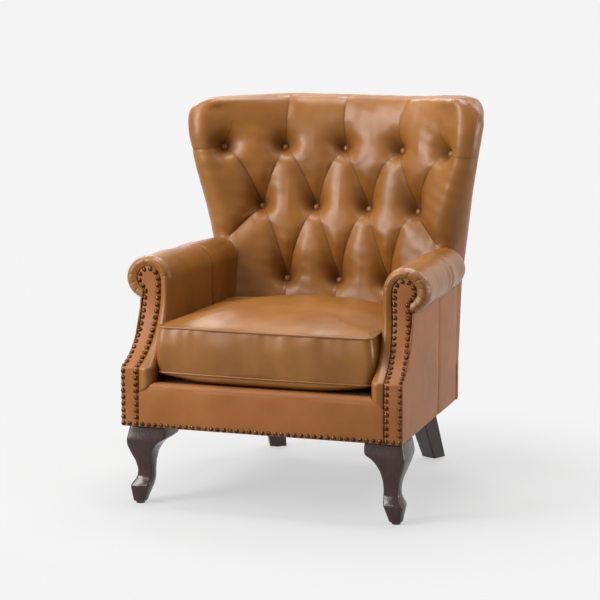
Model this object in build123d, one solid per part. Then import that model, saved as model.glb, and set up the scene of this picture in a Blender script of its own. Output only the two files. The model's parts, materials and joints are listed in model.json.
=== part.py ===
from build123d import *
import math
import os

# Upholstered club armchair with a tufted barrel back, rolled arms and a loose seat cushion.
# Millimetres. +X is the viewer's right, +Y the rear, +Z up. The model is drawn with the front face of the
# base at Y = 0 and is moved at the end, so that the origin lies on the floor under the middle of its box.

# Seat base
BASE_WIDTH = 716.0
BASE_HEIGHT = 205.0
BASE_DEPTH = 735.0
SEAT_WIDTH = 550.0
RAIL_HEIGHT = 85.0
RAIL_THICKNESS = 28.0
APRON_HEIGHT = 111.0
APRON_THICKNESS = 10.0
APRON_MITRE = 26.0
PANEL_THICKNESS = 6.0
CORNER_BLOCK_HEIGHT = 70.0
FRONT_BLOCK_LEG = 75.0
REAR_BLOCK_WIDTH = 90.0
DUST_COVER_THICKNESS = 1.5
LEG_REVEAL = 3.0
LEG_PLATE_THICKNESS = 6.0
LEG_PLATE_SIZE = 56.0

# Seat springs and deck
SPRING_COUNT = 5
SPRING_SPACING = 95.0
SPRING_WIRE = 3.6
SPRING_HALF_WIDTH = 24.0
SPRING_PITCH = 26.0
SPRING_LEAD = 22.0
CLIP_CLEARANCE = 0.2
CLIP_WIDTH = 16.0
CLIP_DEPTH = 14.0
CLIP_WALL = 0.8
DECK_THICKNESS = 14.0
DECK_GAP = 4.0

# Arms
ARM_HEIGHT = 615.0
ROLL_RADIUS = 57.0
ARM_LENGTH = 575.0
ARM_SETBACK = 112.0
ARM_FRONT_BLOCK = 147.0
SCOOP_HEIGHT = 168.0
ARM_SPLAY = 2.4
ARM_PAD_THICKNESS = 30.0
ARM_RAIL_HEIGHT = 36.0
STUMP_DEPTH = 46.0
SIDE_SEAM_Y = 378.0

# Facing boards on the arm fronts
FACING_WIDTH = 46.5
FACING_NECK_WIDTH = 46.0
FACING_ROLL_RADIUS = 31.0

# Back
OVERALL_HEIGHT = 968.0
SEAT_LINE = 500.0
FACE_Y = 590.0
FACE_RAKE = 11.0
REAR_RAKE = 3.0
WING_TOP = 920.0
WING_INNER = 352.0
WING_OUTER = 395.0
WING_FORWARD = 130.0
WING_CURVE = 1.6
LOW_FORWARD = 40.0
NOSE_DEPTH = 58.0
NOSE_BULGE = 22.0
REAR_FLAT = 200.0
REAR_SAG = 14.0
REAR_CORNER = 0.2
TOP_ROUND_HEIGHT = 50.0
TOP_ROUND_DEPTH = 40.0
TOP_CORNER_ROUND = 60.0
BACK_PAD_THICKNESS = 50.0
BACK_BORDER = 85.0
BACK_ROOM_WIDTH = 600.0
CLOTH_GAP = 0.4
CLOTH_THICKNESS = 2.0
WEB_THICKNESS = 2.5
WEB_WIDTH = 50.0
WEB_COUNT = 4
BACK_BOARD = 18.0
BACK_POST_X = 122.0
BACK_POST_WIDTH = 40.0
BACK_RAIL_HEIGHT = 45.0

# Tufting: rows as height, spacing along the curved face, and places counted in that spacing
TUFT_ROWS = (
    (846.0, 156.0, (-2, -1, 0, 1, 2)),
    (691.0, 139.0, (-1.5, -0.5, 0.5, 1.5)),
    (500.0, 137.0, (-1, 0, 1)),
)
TUFT_DEPTH = 28.0
TUFT_MOUTH = 55.0
TUFT_SEAT = 11.0
PLEAT_DEPTH = 15.0
PLEAT_HALF_WIDTH = 9.0
BUTTON_RADIUS = 9.5
BUTTON_RIM = 3.0
BUTTON_CROWN = 4.0
BUTTON_SEAT = 0.2

# Seat cushion
CUSHION_FRONT_Y = 24.0
CUSHION_REAR_GAP = 9.0
CUSHION_SIDE_GAP = 3.4
CUSHION_LIFT = 0.4
CUSHION_BOX = 113.0
CUSHION_BOTTOM_CROWN = 26.0
CUSHION_TOP_CROWN = 36.0
CUSHION_CROWN_INSET = 120.0
CUSHION_BULGE = 4.0
CUSHION_CORNER = 34.0
CUSHION_BOW = 6.0
CUSHION_DRAW = 3.0
CUSHION_REAR_DROP = 38.0
LEATHER = 2.5
FOAM_GAP = 0.3
WELT_RADIUS = 2.4
WELT_GAP = 0.25

# Legs
GLIDE_RADIUS = 11.0
GLIDE_HEIGHT = 4.0
BOLT_RADIUS = 4.0
BOLT_IN_LEG = 55.0
BOLT_IN_BLOCK = 55.0
REAR_LEG_TOP = (205.0, 650.0)
REAR_LEG_RAKE = 120.0
REAR_LEG_SPLAY = 19.0
REAR_LEG_TURN = -26.0
REAR_LEG_TOP_SIZE = 62.0
REAR_LEG_FOOT_SIZE = 46.0
LEG_EDGE = 5.0
FRONT_LEG_SETBACK = 20.0
FRONT_BOLT_INSET = 55.0
# Cabriole stations: share of the leg's height, inset of the centre from the base corner, width
CABRIOLE = (
    (0.00, 29.0, 29.0),
    (0.05, 30.0, 33.0),
    (0.15, 32.0, 45.0),
    (0.21, 33.8, 48.5),
    (0.27, 38.0, 44.0),
    (0.32, 41.5, 39.0),
    (0.41, 42.5, 37.0),
    (0.52, 41.5, 42.0),
    (0.64, 40.0, 53.5),
    (0.74, 42.5, 69.0),
    (0.80, 48.0, 83.0),
    (0.83, 54.0, 95.0),
)
# The ears above the knee, in the same form
CABRIOLE_EARS = ((0.83, 56.0, 99.0), (0.91, 56.0, 99.6), (1.00, 57.0, 97.0))

# Decorative nails
NAIL_RADIUS = 5.6
NAIL_CROWN = 3.0
NAIL_PITCH = 16.4
NAIL_EDGE = 6.5
NAIL_SEAT = 0.15

# Places worked out from the sizes above
SPLAY = math.tan(math.radians(ARM_SPLAY))
HALF_BASE = BASE_WIDTH / 2
HALF_SEAT = SEAT_WIDTH / 2
LEG_TOP = BASE_HEIGHT - LEG_REVEAL
COVER_BOTTOM = LEG_TOP + LEG_PLATE_THICKNESS
RAIL_BOTTOM = COVER_BOTTOM + DUST_COVER_THICKNESS
RAIL_TOP = RAIL_BOTTOM + RAIL_HEIGHT
SPRING_Z = RAIL_TOP + SPRING_WIRE / 2 + CLIP_WALL
CLIP_TOP = SPRING_Z + SPRING_WIRE / 2 + CLIP_WALL
DECK_BOTTOM = CLIP_TOP
DECK_TOP = DECK_BOTTOM + DECK_THICKNESS
BACK_BOTTOM = DECK_BOTTOM
ROLL_X = HALF_SEAT + ROLL_RADIUS
ROLL_Z = ARM_HEIGHT - ROLL_RADIUS
KINK_Z = BASE_HEIGHT + ARM_FRONT_BLOCK
SCOOP_TOP = KINK_Z + SCOOP_HEIGHT
PAD_X = HALF_SEAT + ARM_PAD_THICKNESS
PANEL_X = HALF_BASE - PANEL_THICKNESS
POCKET_TOP = OVERALL_HEIGHT - BACK_BORDER
BOARD_DEPTH = CLOTH_GAP + CLOTH_THICKNESS + WEB_THICKNESS
FAR = 2 * BASE_DEPTH
BACK_LEVELS = (BACK_BOTTOM, 420.0, 520.0, 620.0, 720.0, 820.0, 900.0)
TOP_ANGLES = (0.0, 30.0, 55.0, 75.0)


def box(x0, x1, y0, y1, z0, z1):
    """Block between two corners."""
    return Pos((x0 + x1) / 2, (y0 + y1) / 2, (z0 + z1) / 2) * Box(x1 - x0, y1 - y0, z1 - z0)


def arc(a, b, c):
    """Arc from a through b to c."""
    return ThreePointArc(a, b, c)


def dome(radius, low, crown):
    """Half profile of a round dome on the axis, from its rim to its crown."""
    ball = (radius ** 2 + crown ** 2) / (2 * crown)
    half = math.asin(min(1.0, radius / ball)) / 2
    middle = (ball * math.sin(half), 0, low + crown - ball + ball * math.cos(half))
    return arc((radius, 0, low), middle, (0, 0, low + crown))


def face_of(edges):
    """Flat face inside a closed run of edges."""
    return Face(Wire(edges))


def single(shape):
    """The one largest solid of a result."""
    return max(shape.solids(), key=lambda solid: solid.volume)


def lowest(shape):
    """The solid of a result that reaches lowest."""
    return min(shape.solids(), key=lambda solid: solid.bounding_box().min.Z)


def splay_shift(y):
    """Sideways place of an arm at depth y, against its place at the arm front."""
    return -SPLAY * (y - ARM_SETBACK)


def along_arm(section, y0, y1):
    """Front-view face carried back along the right arm."""
    start = Pos(splay_shift(y0), y0, 0) * section
    return Solid.extrude(start, Vector(splay_shift(y1) - splay_shift(y0), y1 - y0, 0))


def rectangle_xz(x0, x1, z0, z1):
    """Front-view rectangle."""
    corners = [(x0, 0, z0), (x1, 0, z0), (x1, 0, z1), (x0, 0, z1)]
    return face_of(Polyline(*corners, close=True).edges())


def arm_front_y(z):
    """Depth of the scooped arm front at height z."""
    if z <= KINK_Z:
        return 0.0
    if z >= SCOOP_TOP:
        return ARM_SETBACK
    return scoop_centre() + math.sqrt(scoop_radius() ** 2 - (SCOOP_TOP - z) ** 2)


def scoop_radius():
    """Radius of the scoop, which ends upright at its top."""
    return (ARM_SETBACK ** 2 + SCOOP_HEIGHT ** 2) / (2 * ARM_SETBACK)


def scoop_centre():
    """Depth of the scoop's centre."""
    return ARM_SETBACK - scoop_radius()


def behind_scoop():
    """Everything behind the scooped arm front, on the right."""
    low = BASE_HEIGHT - BASE_HEIGHT / 2
    high = ARM_HEIGHT + ROLL_RADIUS
    middle = (KINK_Z + SCOOP_TOP) / 2
    edges = [
        Line((0, 0, low), (0, 0, KINK_Z)),
        arc((0, 0, KINK_Z), (0, arm_front_y(middle), middle), (0, ARM_SETBACK, SCOOP_TOP)),
        *Polyline((0, ARM_SETBACK, SCOOP_TOP), (0, ARM_SETBACK, high), (0, FAR, high), (0, FAR, low), (0, 0, low)).edges(),
    ]
    return Solid.extrude(face_of(edges), Vector(2 * BASE_WIDTH, 0, 0))


# The seat base


def side_x(y):
    """Outside of the base at depth y."""
    return HALF_BASE + splay_shift(y)


def rear_outline(half, start_y, rear_y, sag, flat):
    """Rear curve from the right side round to the left, as three arcs."""
    side, turn = Vector(half, start_y), Vector(flat, rear_y - sag)
    chord = turn - side
    out = Vector(chord.Y, -chord.X).normalized() * (REAR_CORNER * chord.length)
    bend = (side + turn) * 0.5 + out
    return [
        arc((half, start_y), (bend.X, bend.Y), (flat, rear_y - sag)),
        arc((flat, rear_y - sag), (0, rear_y), (-flat, rear_y - sag)),
        arc((-flat, rear_y - sag), (-bend.X, bend.Y), (-half, start_y)),
    ]


def base_plan(inset, front):
    """Plan of the base, drawn in by inset, from the front depth to the rear."""
    half = side_x(ARM_LENGTH) - inset
    edges = rear_outline(half, ARM_LENGTH, BASE_DEPTH - inset, REAR_SAG, REAR_FLAT)
    wide = side_x(front) - inset
    edges += Polyline((-half, ARM_LENGTH), (-wide, front), (wide, front), (half, ARM_LENGTH)).edges()
    return face_of(edges)


def base_inner(z0, z1):
    """Room inside the base panels."""
    plan = Pos(0, 0, z0) * base_plan(PANEL_THICKNESS, APRON_THICKNESS)
    return Solid.extrude(plan, Vector(0, 0, z1 - z0))


def base_rear_panel():
    """Leather-covered panel that wraps the rear of the base."""
    outer = Solid.extrude(Pos(0, 0, BASE_HEIGHT) * base_plan(0, 0), Vector(0, 0, BACK_BOTTOM - BASE_HEIGHT))
    rear_zone = box(-FAR, FAR, ARM_LENGTH, FAR, 0, FAR)
    return single((outer - base_inner(0, FAR)) & rear_zone)


def rear_rail_y():
    """Front of the rear seat rail, right under the back posts."""
    return board_front_y(RAIL_TOP) + BOARD_DEPTH


def seat_rails():
    """Front, rear and right side rail of the seat frame."""
    room = base_inner(RAIL_BOTTOM, RAIL_TOP)
    front_end = APRON_THICKNESS + RAIL_THICKNESS
    rear_y = rear_rail_y()
    front = room & box(-FAR, FAR, APRON_THICKNESS, front_end, 0, FAR)
    rear = room & box(-FAR, FAR, rear_y, rear_y + RAIL_THICKNESS, 0, FAR)
    side_section = rectangle_xz(PANEL_X - RAIL_THICKNESS, PANEL_X, RAIL_BOTTOM, RAIL_TOP)
    side = along_arm(side_section, front_end, rear_y) & room
    return single(front), single(rear), single(side)


def front_corner_block(side_rail):
    """Triangular block in the right front corner of the seat frame."""
    x, y = PANEL_X - RAIL_THICKNESS, APRON_THICKNESS + RAIL_THICKNESS
    reach = x + RAIL_THICKNESS / 2
    corners = [(reach, y), (x - FRONT_BLOCK_LEG, y), (x, y + FRONT_BLOCK_LEG), (reach, y + FRONT_BLOCK_LEG)]
    plan = face_of(Polyline(*corners, close=True).edges())
    block = Solid.extrude(Pos(0, 0, RAIL_BOTTOM) * plan, Vector(0, 0, CORNER_BLOCK_HEIGHT))
    return single(block - side_rail)


def rear_leg_block():
    """Block behind the rear rail that takes the right rear leg's bolt."""
    x = REAR_LEG_TOP[0]
    y = rear_rail_y() + RAIL_THICKNESS
    half = REAR_BLOCK_WIDTH / 2
    room = base_inner(RAIL_BOTTOM, RAIL_BOTTOM + CORNER_BLOCK_HEIGHT)
    return single(room & box(x - half, x + half, y, FAR, 0, FAR))


def sinuous_spring(y0, y1):
    """One zigzag seat spring from the front clip to the rear clip."""
    first = y0 + SPRING_LEAD
    count = 2 * int((y1 - y0 - 2 * SPRING_LEAD) / SPRING_PITCH / 2)
    pitch = (y1 - y0 - 2 * SPRING_LEAD) / count
    points = [(0, y0)]
    for turn in range(count + 1):
        y = first + turn * pitch
        start = 0 if turn == 0 else SPRING_HALF_WIDTH * (-1) ** (turn + 1)
        end = 0 if turn == count else SPRING_HALF_WIDTH * (-1) ** turn
        points += [(start, y), (end, y)]
    points.append((0, y1))
    path = FilletPolyline(*points, radius=pitch * 0.48)
    section = Plane(origin=path @ 0, z_dir=path % 0) * Circle(SPRING_WIRE / 2)
    return single(Pos(0, 0, SPRING_Z) * sweep(section, path=path))


def seat_springs():
    """The springs, and the clips that hold their ends on the rails."""
    front = APRON_THICKNESS + RAIL_THICKNESS / 2
    rear = rear_rail_y() + RAIL_THICKNESS / 2
    spring = sinuous_spring(front, rear)
    bore = SPRING_WIRE / 2 + CLIP_CLEARANCE
    springs, clips = [], []
    for index in range(SPRING_COUNT):
        x = (index - (SPRING_COUNT - 1) / 2) * SPRING_SPACING
        springs.append(Pos(x, 0, 0) * spring)
        for y in (front, rear):
            block = box(
                x - CLIP_WIDTH / 2, x + CLIP_WIDTH / 2, y - CLIP_DEPTH / 2, y + CLIP_DEPTH / 2, RAIL_TOP, CLIP_TOP
            )
            hole = Pos(x, y, SPRING_Z) * Rot(90, 0, 0) * Cylinder(bore, CLIP_DEPTH)
            clips.append(single(block - hole))
    return Compound(children=springs), Compound(children=clips)


def front_apron():
    """Leather-covered front of the base, mitred at its top corners against the arms."""
    wide = ROLL_X - FACING_ROLL_RADIUS + FACING_INNER_SHIFT
    top = BASE_HEIGHT + APRON_HEIGHT
    corners = [
        (-wide, 0, BASE_HEIGHT), (wide, 0, BASE_HEIGHT), (wide, 0, top - APRON_MITRE), (HALF_SEAT, 0, top),
        (-HALF_SEAT, 0, top), (-wide, 0, top - APRON_MITRE),
    ]
    return Solid.extrude(face_of(Polyline(*corners, close=True).edges()), Vector(0, APRON_THICKNESS, 0))


# The arms

FACING_INNER_SHIFT = (HALF_BASE - FACING_WIDTH) - (ROLL_X - FACING_ROLL_RADIUS)


def arm_pad_section():
    """Inside arm and roll in one front view."""
    slant = ROLL_RADIUS * math.sqrt(0.5)
    inset = PAD_X - ROLL_X
    under = ROLL_Z - math.sqrt(ROLL_RADIUS ** 2 - inset ** 2)
    top, outer, low = (ROLL_X, 0, ARM_HEIGHT), (ROLL_X + ROLL_RADIUS, 0, ROLL_Z), (ROLL_X, 0, ROLL_Z - ROLL_RADIUS)
    low_left = (ROLL_X + inset / 2, 0, ROLL_Z - math.sqrt(ROLL_RADIUS ** 2 - inset ** 2 / 4))
    edges = [
        Line((HALF_SEAT, 0, RAIL_TOP), (HALF_SEAT, 0, ROLL_Z)),
        arc((HALF_SEAT, 0, ROLL_Z), (ROLL_X - slant, 0, ROLL_Z + slant), top),
        arc(top, (ROLL_X + slant, 0, ROLL_Z + slant), outer),
        arc(outer, (ROLL_X + slant, 0, ROLL_Z - slant), low),
        arc(low, low_left, (PAD_X, 0, under)),
        *Polyline((PAD_X, 0, under), (PAD_X, 0, RAIL_TOP), (HALF_SEAT, 0, RAIL_TOP)).edges(),
    ]
    return face_of(edges)


def facing_section(inset):
    """Front view of the facing board, drawn in by inset: a keyhole with a bulge for the roll."""
    radius = FACING_ROLL_RADIUS - inset
    slant = radius * math.sqrt(0.5)
    left_base, right_base = HALF_BASE - FACING_WIDTH + inset, HALF_BASE - inset
    left = ROLL_X - radius
    right = ROLL_X - FACING_ROLL_RADIUS + FACING_NECK_WIDTH - inset
    neck = ROLL_Z - math.sqrt(radius ** 2 - (right - ROLL_X) ** 2)
    return {
        "left_base": left_base, "right_base": right_base, "left": left, "right": right,
        "neck": neck, "radius": radius, "slant": slant,
    }


def facing_face():
    """The facing board's outline as a face."""
    s = facing_section(0)
    top, far = (ROLL_X, 0, ROLL_Z + s["radius"]), (ROLL_X + s["radius"], 0, ROLL_Z)
    turn = math.radians(-25)
    low = (ROLL_X + s["radius"] * math.cos(turn), 0, ROLL_Z + s["radius"] * math.sin(turn))
    edges = [
        *Polyline(
            (s["right"], 0, s["neck"]), (s["right"], 0, SCOOP_TOP), (s["right_base"], 0, KINK_Z),
            (s["right_base"], 0, BASE_HEIGHT), (s["left_base"], 0, BASE_HEIGHT), (s["left_base"], 0, KINK_Z),
            (s["left"], 0, SCOOP_TOP), (s["left"], 0, ROLL_Z),
        ).edges(),
        arc((s["left"], 0, ROLL_Z), (ROLL_X - s["slant"], 0, ROLL_Z + s["slant"]), top),
        arc(top, (ROLL_X + s["slant"], 0, ROLL_Z + s["slant"]), far),
        arc(far, low, (s["right"], 0, s["neck"])),
    ]
    return face_of(edges)


def arm_facing(scoop):
    """Leather-covered board on the arm front, bent to the scoop."""
    blank = along_arm(facing_face(), 0, ARM_SETBACK + 2 * APRON_THICKNESS)
    return single((blank & scoop) - Pos(0, APRON_THICKNESS, 0) * scoop)


def arm_envelope():
    """Whole right arm from the rail top up, which the back is cut around."""
    slant = ROLL_RADIUS * math.sqrt(0.5)
    top, outer = (ROLL_X, 0, ARM_HEIGHT), (ROLL_X + ROLL_RADIUS, 0, ROLL_Z)
    edges = [
        Line((HALF_SEAT, 0, BASE_HEIGHT), (HALF_SEAT, 0, ROLL_Z)),
        arc((HALF_SEAT, 0, ROLL_Z), (ROLL_X - slant, 0, ROLL_Z + slant), top),
        arc(top, (ROLL_X + slant, 0, ROLL_Z + slant), outer),
        *Polyline(outer, (outer[0], 0, BASE_HEIGHT), (HALF_SEAT, 0, BASE_HEIGHT)).edges(),
    ]
    return along_arm(face_of(edges), 0, ARM_LENGTH)


def arm_pieces(scoop, facing, apron):
    """Pad, outside panels, stump and top rail of the right arm."""
    pad = single((along_arm(arm_pad_section(), 0, ARM_LENGTH) & scoop) - facing - apron)
    panel_section = rectangle_xz(PANEL_X, HALF_BASE, BASE_HEIGHT, ROLL_Z)
    front_panel = (along_arm(panel_section, 0, SIDE_SEAM_Y) & scoop) - facing - pad
    rear_panel = along_arm(panel_section, SIDE_SEAM_Y, ARM_LENGTH) - pad
    behind_facing = Pos(0, APRON_THICKNESS, 0) * scoop
    stump_section = rectangle_xz(PAD_X, PANEL_X, RAIL_TOP, ROLL_Z)
    stump_end = ARM_SETBACK + APRON_THICKNESS + STUMP_DEPTH
    stump = (along_arm(stump_section, 0, stump_end) & behind_facing) - pad - facing
    rail_section = rectangle_xz(PAD_X, PANEL_X, ROLL_Z - ROLL_RADIUS - ARM_RAIL_HEIGHT, ROLL_Z)
    rail = along_arm(rail_section, stump_end, ARM_LENGTH) - pad
    return pad, lowest(front_panel), lowest(rear_panel), lowest(stump), lowest(rail)


# The back


def ease(z):
    """Share of the way from the seat line to the top of the wings."""
    return min(1.0, max(0.0, (z - SEAT_LINE) / (WING_TOP - SEAT_LINE)))


def face_y(z):
    """Middle of the inside back at height z."""
    return FACE_Y + (z - SEAT_LINE) * math.tan(math.radians(FACE_RAKE))


def rear_y(z):
    """Middle of the outside back at height z."""
    return BASE_DEPTH + (z - BACK_BOTTOM) * math.tan(math.radians(REAR_RAKE))


def wing_inner(z):
    """Half width of the inside back at height z."""
    low = HALF_SEAT + splay_shift(FACE_Y - LOW_FORWARD)
    share = ease(z)
    return low + (WING_INNER - low) * share * share * (3 - 2 * share)


def wing_forward(z):
    """How far the edges of the inside back stand forward of its middle."""
    return LOW_FORWARD + (WING_FORWARD - LOW_FORWARD) * ease(z) ** WING_CURVE


def wing_outer(z):
    """Half width of the outside back at height z."""
    low = side_x(ARM_LENGTH)
    return low + (WING_OUTER - low) * ease(z) ** 1.8


def corner_inset(z):
    """Narrowing of the back by its rounded top corners."""
    rise = max(0.0, z - (OVERALL_HEIGHT - TOP_CORNER_ROUND)) / TOP_CORNER_ROUND
    return TOP_CORNER_ROUND * (1 - math.sqrt(max(0.0, 1 - rise * rise)))


def back_section(z, rounding):
    """Closed crescent of the whole back at height z, drawn in by rounding at front and rear."""
    half, outer = wing_inner(z) - corner_inset(z), wing_outer(z) - corner_inset(z)
    front = face_y(z) + rounding
    tip_y = front - wing_forward(z)
    side_y = tip_y + NOSE_DEPTH - 2 * rounding
    tip, side = Vector(half, tip_y), Vector(outer, side_y)
    chord = side - tip
    out = Vector(chord.Y, -chord.X).normalized() * NOSE_BULGE * (1 - rounding / TOP_ROUND_HEIGHT)
    nose = (tip + side) * 0.5 + out
    flat = min(REAR_FLAT, outer * REAR_FLAT / wing_outer(RAIL_TOP))
    edges = [
        arc((-half, tip_y), (0, front), (half, tip_y)),
        arc((half, tip_y), (nose.X, nose.Y), (outer, side_y)),
        *rear_outline(outer, side_y, rear_y(z) - rounding, REAR_SAG, flat),
        arc((-outer, side_y), (-nose.X, nose.Y), (-half, tip_y)),
    ]
    return Pos(0, 0, z) * Wire(edges)


def back_form():
    """The whole padded back from the seat frame to its rounded top."""
    sections = [back_section(z, 0) for z in BACK_LEVELS]
    last = TOP_ANGLES[-1]
    for angle in TOP_ANGLES:
        turn = math.radians(angle)
        rise = TOP_ROUND_HEIGHT * math.sin(turn) / math.sin(math.radians(last))
        z = OVERALL_HEIGHT - TOP_ROUND_HEIGHT + rise
        sections.append(back_section(z, TOP_ROUND_DEPTH * (1 - math.cos(turn))))
    return Solid.make_loft(sections)


def board_front_y(z):
    """Flat rear of the back pad at height z."""
    return face_y(z) + BACK_PAD_THICKNESS


def raked_slab(x0, x1, z0, z1, near, far):
    """Board parallel to the back pad's flat rear, between two depths behind it."""
    corners = [
        (x0, board_front_y(z0) + near, z0), (x0, board_front_y(z0) + far, z0),
        (x0, board_front_y(z1) + far, z1), (x0, board_front_y(z1) + near, z1),
    ]
    return Solid.extrude(face_of(Polyline(*corners, close=True).edges()), Vector(x1 - x0, 0, 0))


def back_room():
    """The room behind the back pad, open to the rear and below."""
    half = BACK_ROOM_WIDTH / 2
    return raked_slab(-half, half, RAIL_TOP - BACK_BORDER, POCKET_TOP, 0, FAR)


def inner_of_panel():
    """Everything in front of the outside back panel."""
    sections = []
    for z in (RAIL_TOP - BACK_BORDER,) + BACK_LEVELS[1:] + (OVERALL_HEIGHT,):
        outer = wing_outer(z) - PANEL_THICKNESS
        side_y = face_y(z) - wing_forward(z) + NOSE_DEPTH
        edges = rear_outline(outer, side_y, rear_y(z) - PANEL_THICKNESS, REAR_SAG, REAR_FLAT)
        edges += Polyline((-outer, side_y), (-outer, 0), (outer, 0), (outer, side_y)).edges()
        sections.append(Pos(0, 0, z) * Wire(edges))
    return Solid.make_loft(sections)


def face_point(z, along, depth):
    """Point at a distance along the curved inside back, sunk by depth, and the way it faces."""
    half, forward = wing_inner(z), wing_forward(z)
    radius = (half ** 2 + forward ** 2) / (2 * forward)
    turn = along / radius
    out = Vector(-math.sin(turn), -math.cos(turn), math.tan(math.radians(FACE_RAKE))).normalized()
    point = Vector(radius * math.sin(turn), face_y(z) - radius * (1 - math.cos(turn)), z)
    return point - out * depth, out


def tuft_cutter(z, along):
    """Funnel that a button pulls into the back."""
    point, out = face_point(z, along, 0)
    lip = TUFT_DEPTH / 8
    rim = (TUFT_SEAT + TUFT_MOUTH) / 3
    edges = [
        Line((0, 0, lip), (0, 0, -TUFT_DEPTH)),
        Line((0, 0, -TUFT_DEPTH), (TUFT_SEAT, 0, -TUFT_DEPTH)),
        Line((TUFT_SEAT, 0, -TUFT_DEPTH), (rim, 0, -TUFT_DEPTH / 3)),
        Line((rim, 0, -TUFT_DEPTH / 3), (TUFT_MOUTH, 0, lip)),
        Line((TUFT_MOUTH, 0, lip), (0, 0, lip)),
    ]
    return Plane(origin=point, z_dir=out) * revolve(face_of(edges), axis=Axis.Z)


def pleat_cutter(start, end):
    """Straight fold between two places on the inside back, each a height and a distance along it."""
    a, out_a = face_point(*start, PLEAT_DEPTH)
    b, out_b = face_point(*end, PLEAT_DEPTH)
    out = (out_a + out_b).normalized()
    run = (b - a).normalized()
    across = run.cross(out).normalized()
    lift = PLEAT_DEPTH * 2
    wide = PLEAT_HALF_WIDTH * lift / PLEAT_DEPTH
    corners = [a, a + out * lift + across * wide, a + out * lift - across * wide]
    return Solid.extrude(face_of(Polyline(*corners, close=True).edges()), b - a)


def pleat_lines():
    """All folds: the diamonds between the rows, and the runs out to the edges."""
    rows = [[(z, step * place) for place in places] for z, step, places in TUFT_ROWS]
    top, middle, low = rows
    lines = []
    for upper, lower in ((top, middle), (middle, low)):
        longer, shorter = upper, lower
        for index, spot in enumerate(shorter):
            lines += [(spot, longer[index]), (spot, longer[index + 1])]
    crest = OVERALL_HEIGHT - TOP_ROUND_HEIGHT / 2
    lines += [(spot, (crest, spot[1])) for spot in top[1:-1]]
    edge = math.hypot(WING_INNER, WING_FORWARD)
    lines += [(top[0], (top[0][0], -edge)), (top[-1], (top[-1][0], edge))]
    return lines


def back_button(z, along):
    """Covered button seated in its tuft."""
    point, out = face_point(z, along, TUFT_DEPTH - BUTTON_SEAT)
    edges = [
        Line((0, 0, 0), (BUTTON_RADIUS, 0, 0)),
        Line((BUTTON_RADIUS, 0, 0), (BUTTON_RADIUS, 0, BUTTON_RIM)),
        dome(BUTTON_RADIUS, BUTTON_RIM, BUTTON_CROWN),
        Line((0, 0, BUTTON_RIM + BUTTON_CROWN), (0, 0, 0)),
    ]
    return single(Plane(origin=point, z_dir=out) * revolve(face_of(edges), axis=Axis.Z))


def back_webs():
    """Webbing straps across the back frame."""
    end = BACK_POST_X + BACK_POST_WIDTH
    near, far = CLOTH_GAP + CLOTH_THICKNESS, BOARD_DEPTH
    first, last = RAIL_TOP + 2 * BACK_RAIL_HEIGHT, POCKET_TOP - BACK_RAIL_HEIGHT
    webs = []
    for index in range(WEB_COUNT):
        z = first + (last - first) * index / (WEB_COUNT - 1)
        webs.append(raked_slab(-end, end, z - WEB_WIDTH / 2, z + WEB_WIDTH / 2, near, far))
    return webs


def back_pieces(arms):
    """Pad, outside panel, support cloth, webbing, frame boards and buttons of the back."""
    spots = [(z, step * place) for z, step, places in TUFT_ROWS for place in places]
    form = back_form() - arms
    room = back_room()
    pad = single(form - room)
    cutters = [tuft_cutter(*spot) for spot in spots] + [pleat_cutter(*line) for line in pleat_lines()]
    pad = single(pad - cutters)
    outside = single((form & room) - inner_of_panel())
    near, far = BOARD_DEPTH, BOARD_DEPTH + BACK_BOARD
    foot, crest_z = BACK_BOTTOM + BACK_RAIL_HEIGHT, POCKET_TOP - BACK_RAIL_HEIGHT
    end = BACK_POST_X + BACK_POST_WIDTH
    lumbar_z = (foot + crest_z) / 2
    post = raked_slab(BACK_POST_X, end, RAIL_TOP, POCKET_TOP, near, far)
    pieces = {
        "inside_back_pad": pad,
        "outside_back_panel": outside,
        "back_support_cloth": raked_slab(-end, end, BACK_BOTTOM, POCKET_TOP, CLOTH_GAP, CLOTH_GAP + CLOTH_THICKNESS),
        "back_webbing": Compound(children=back_webs()),
        "back_bottom_rail": raked_slab(-BACK_POST_X, BACK_POST_X, BACK_BOTTOM, foot, near, far),
        "back_crest_rail": raked_slab(-BACK_POST_X, BACK_POST_X, crest_z, POCKET_TOP, near, far),
        "back_lumbar_rail": raked_slab(
            -BACK_POST_X, BACK_POST_X, lumbar_z, lumbar_z + BACK_RAIL_HEIGHT, near, far
        ),
        "back_buttons": Compound(children=[back_button(*spot) for spot in spots]),
    }
    pieces.update(pair("back_post", post))
    return pieces


# The seat cushion


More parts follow.
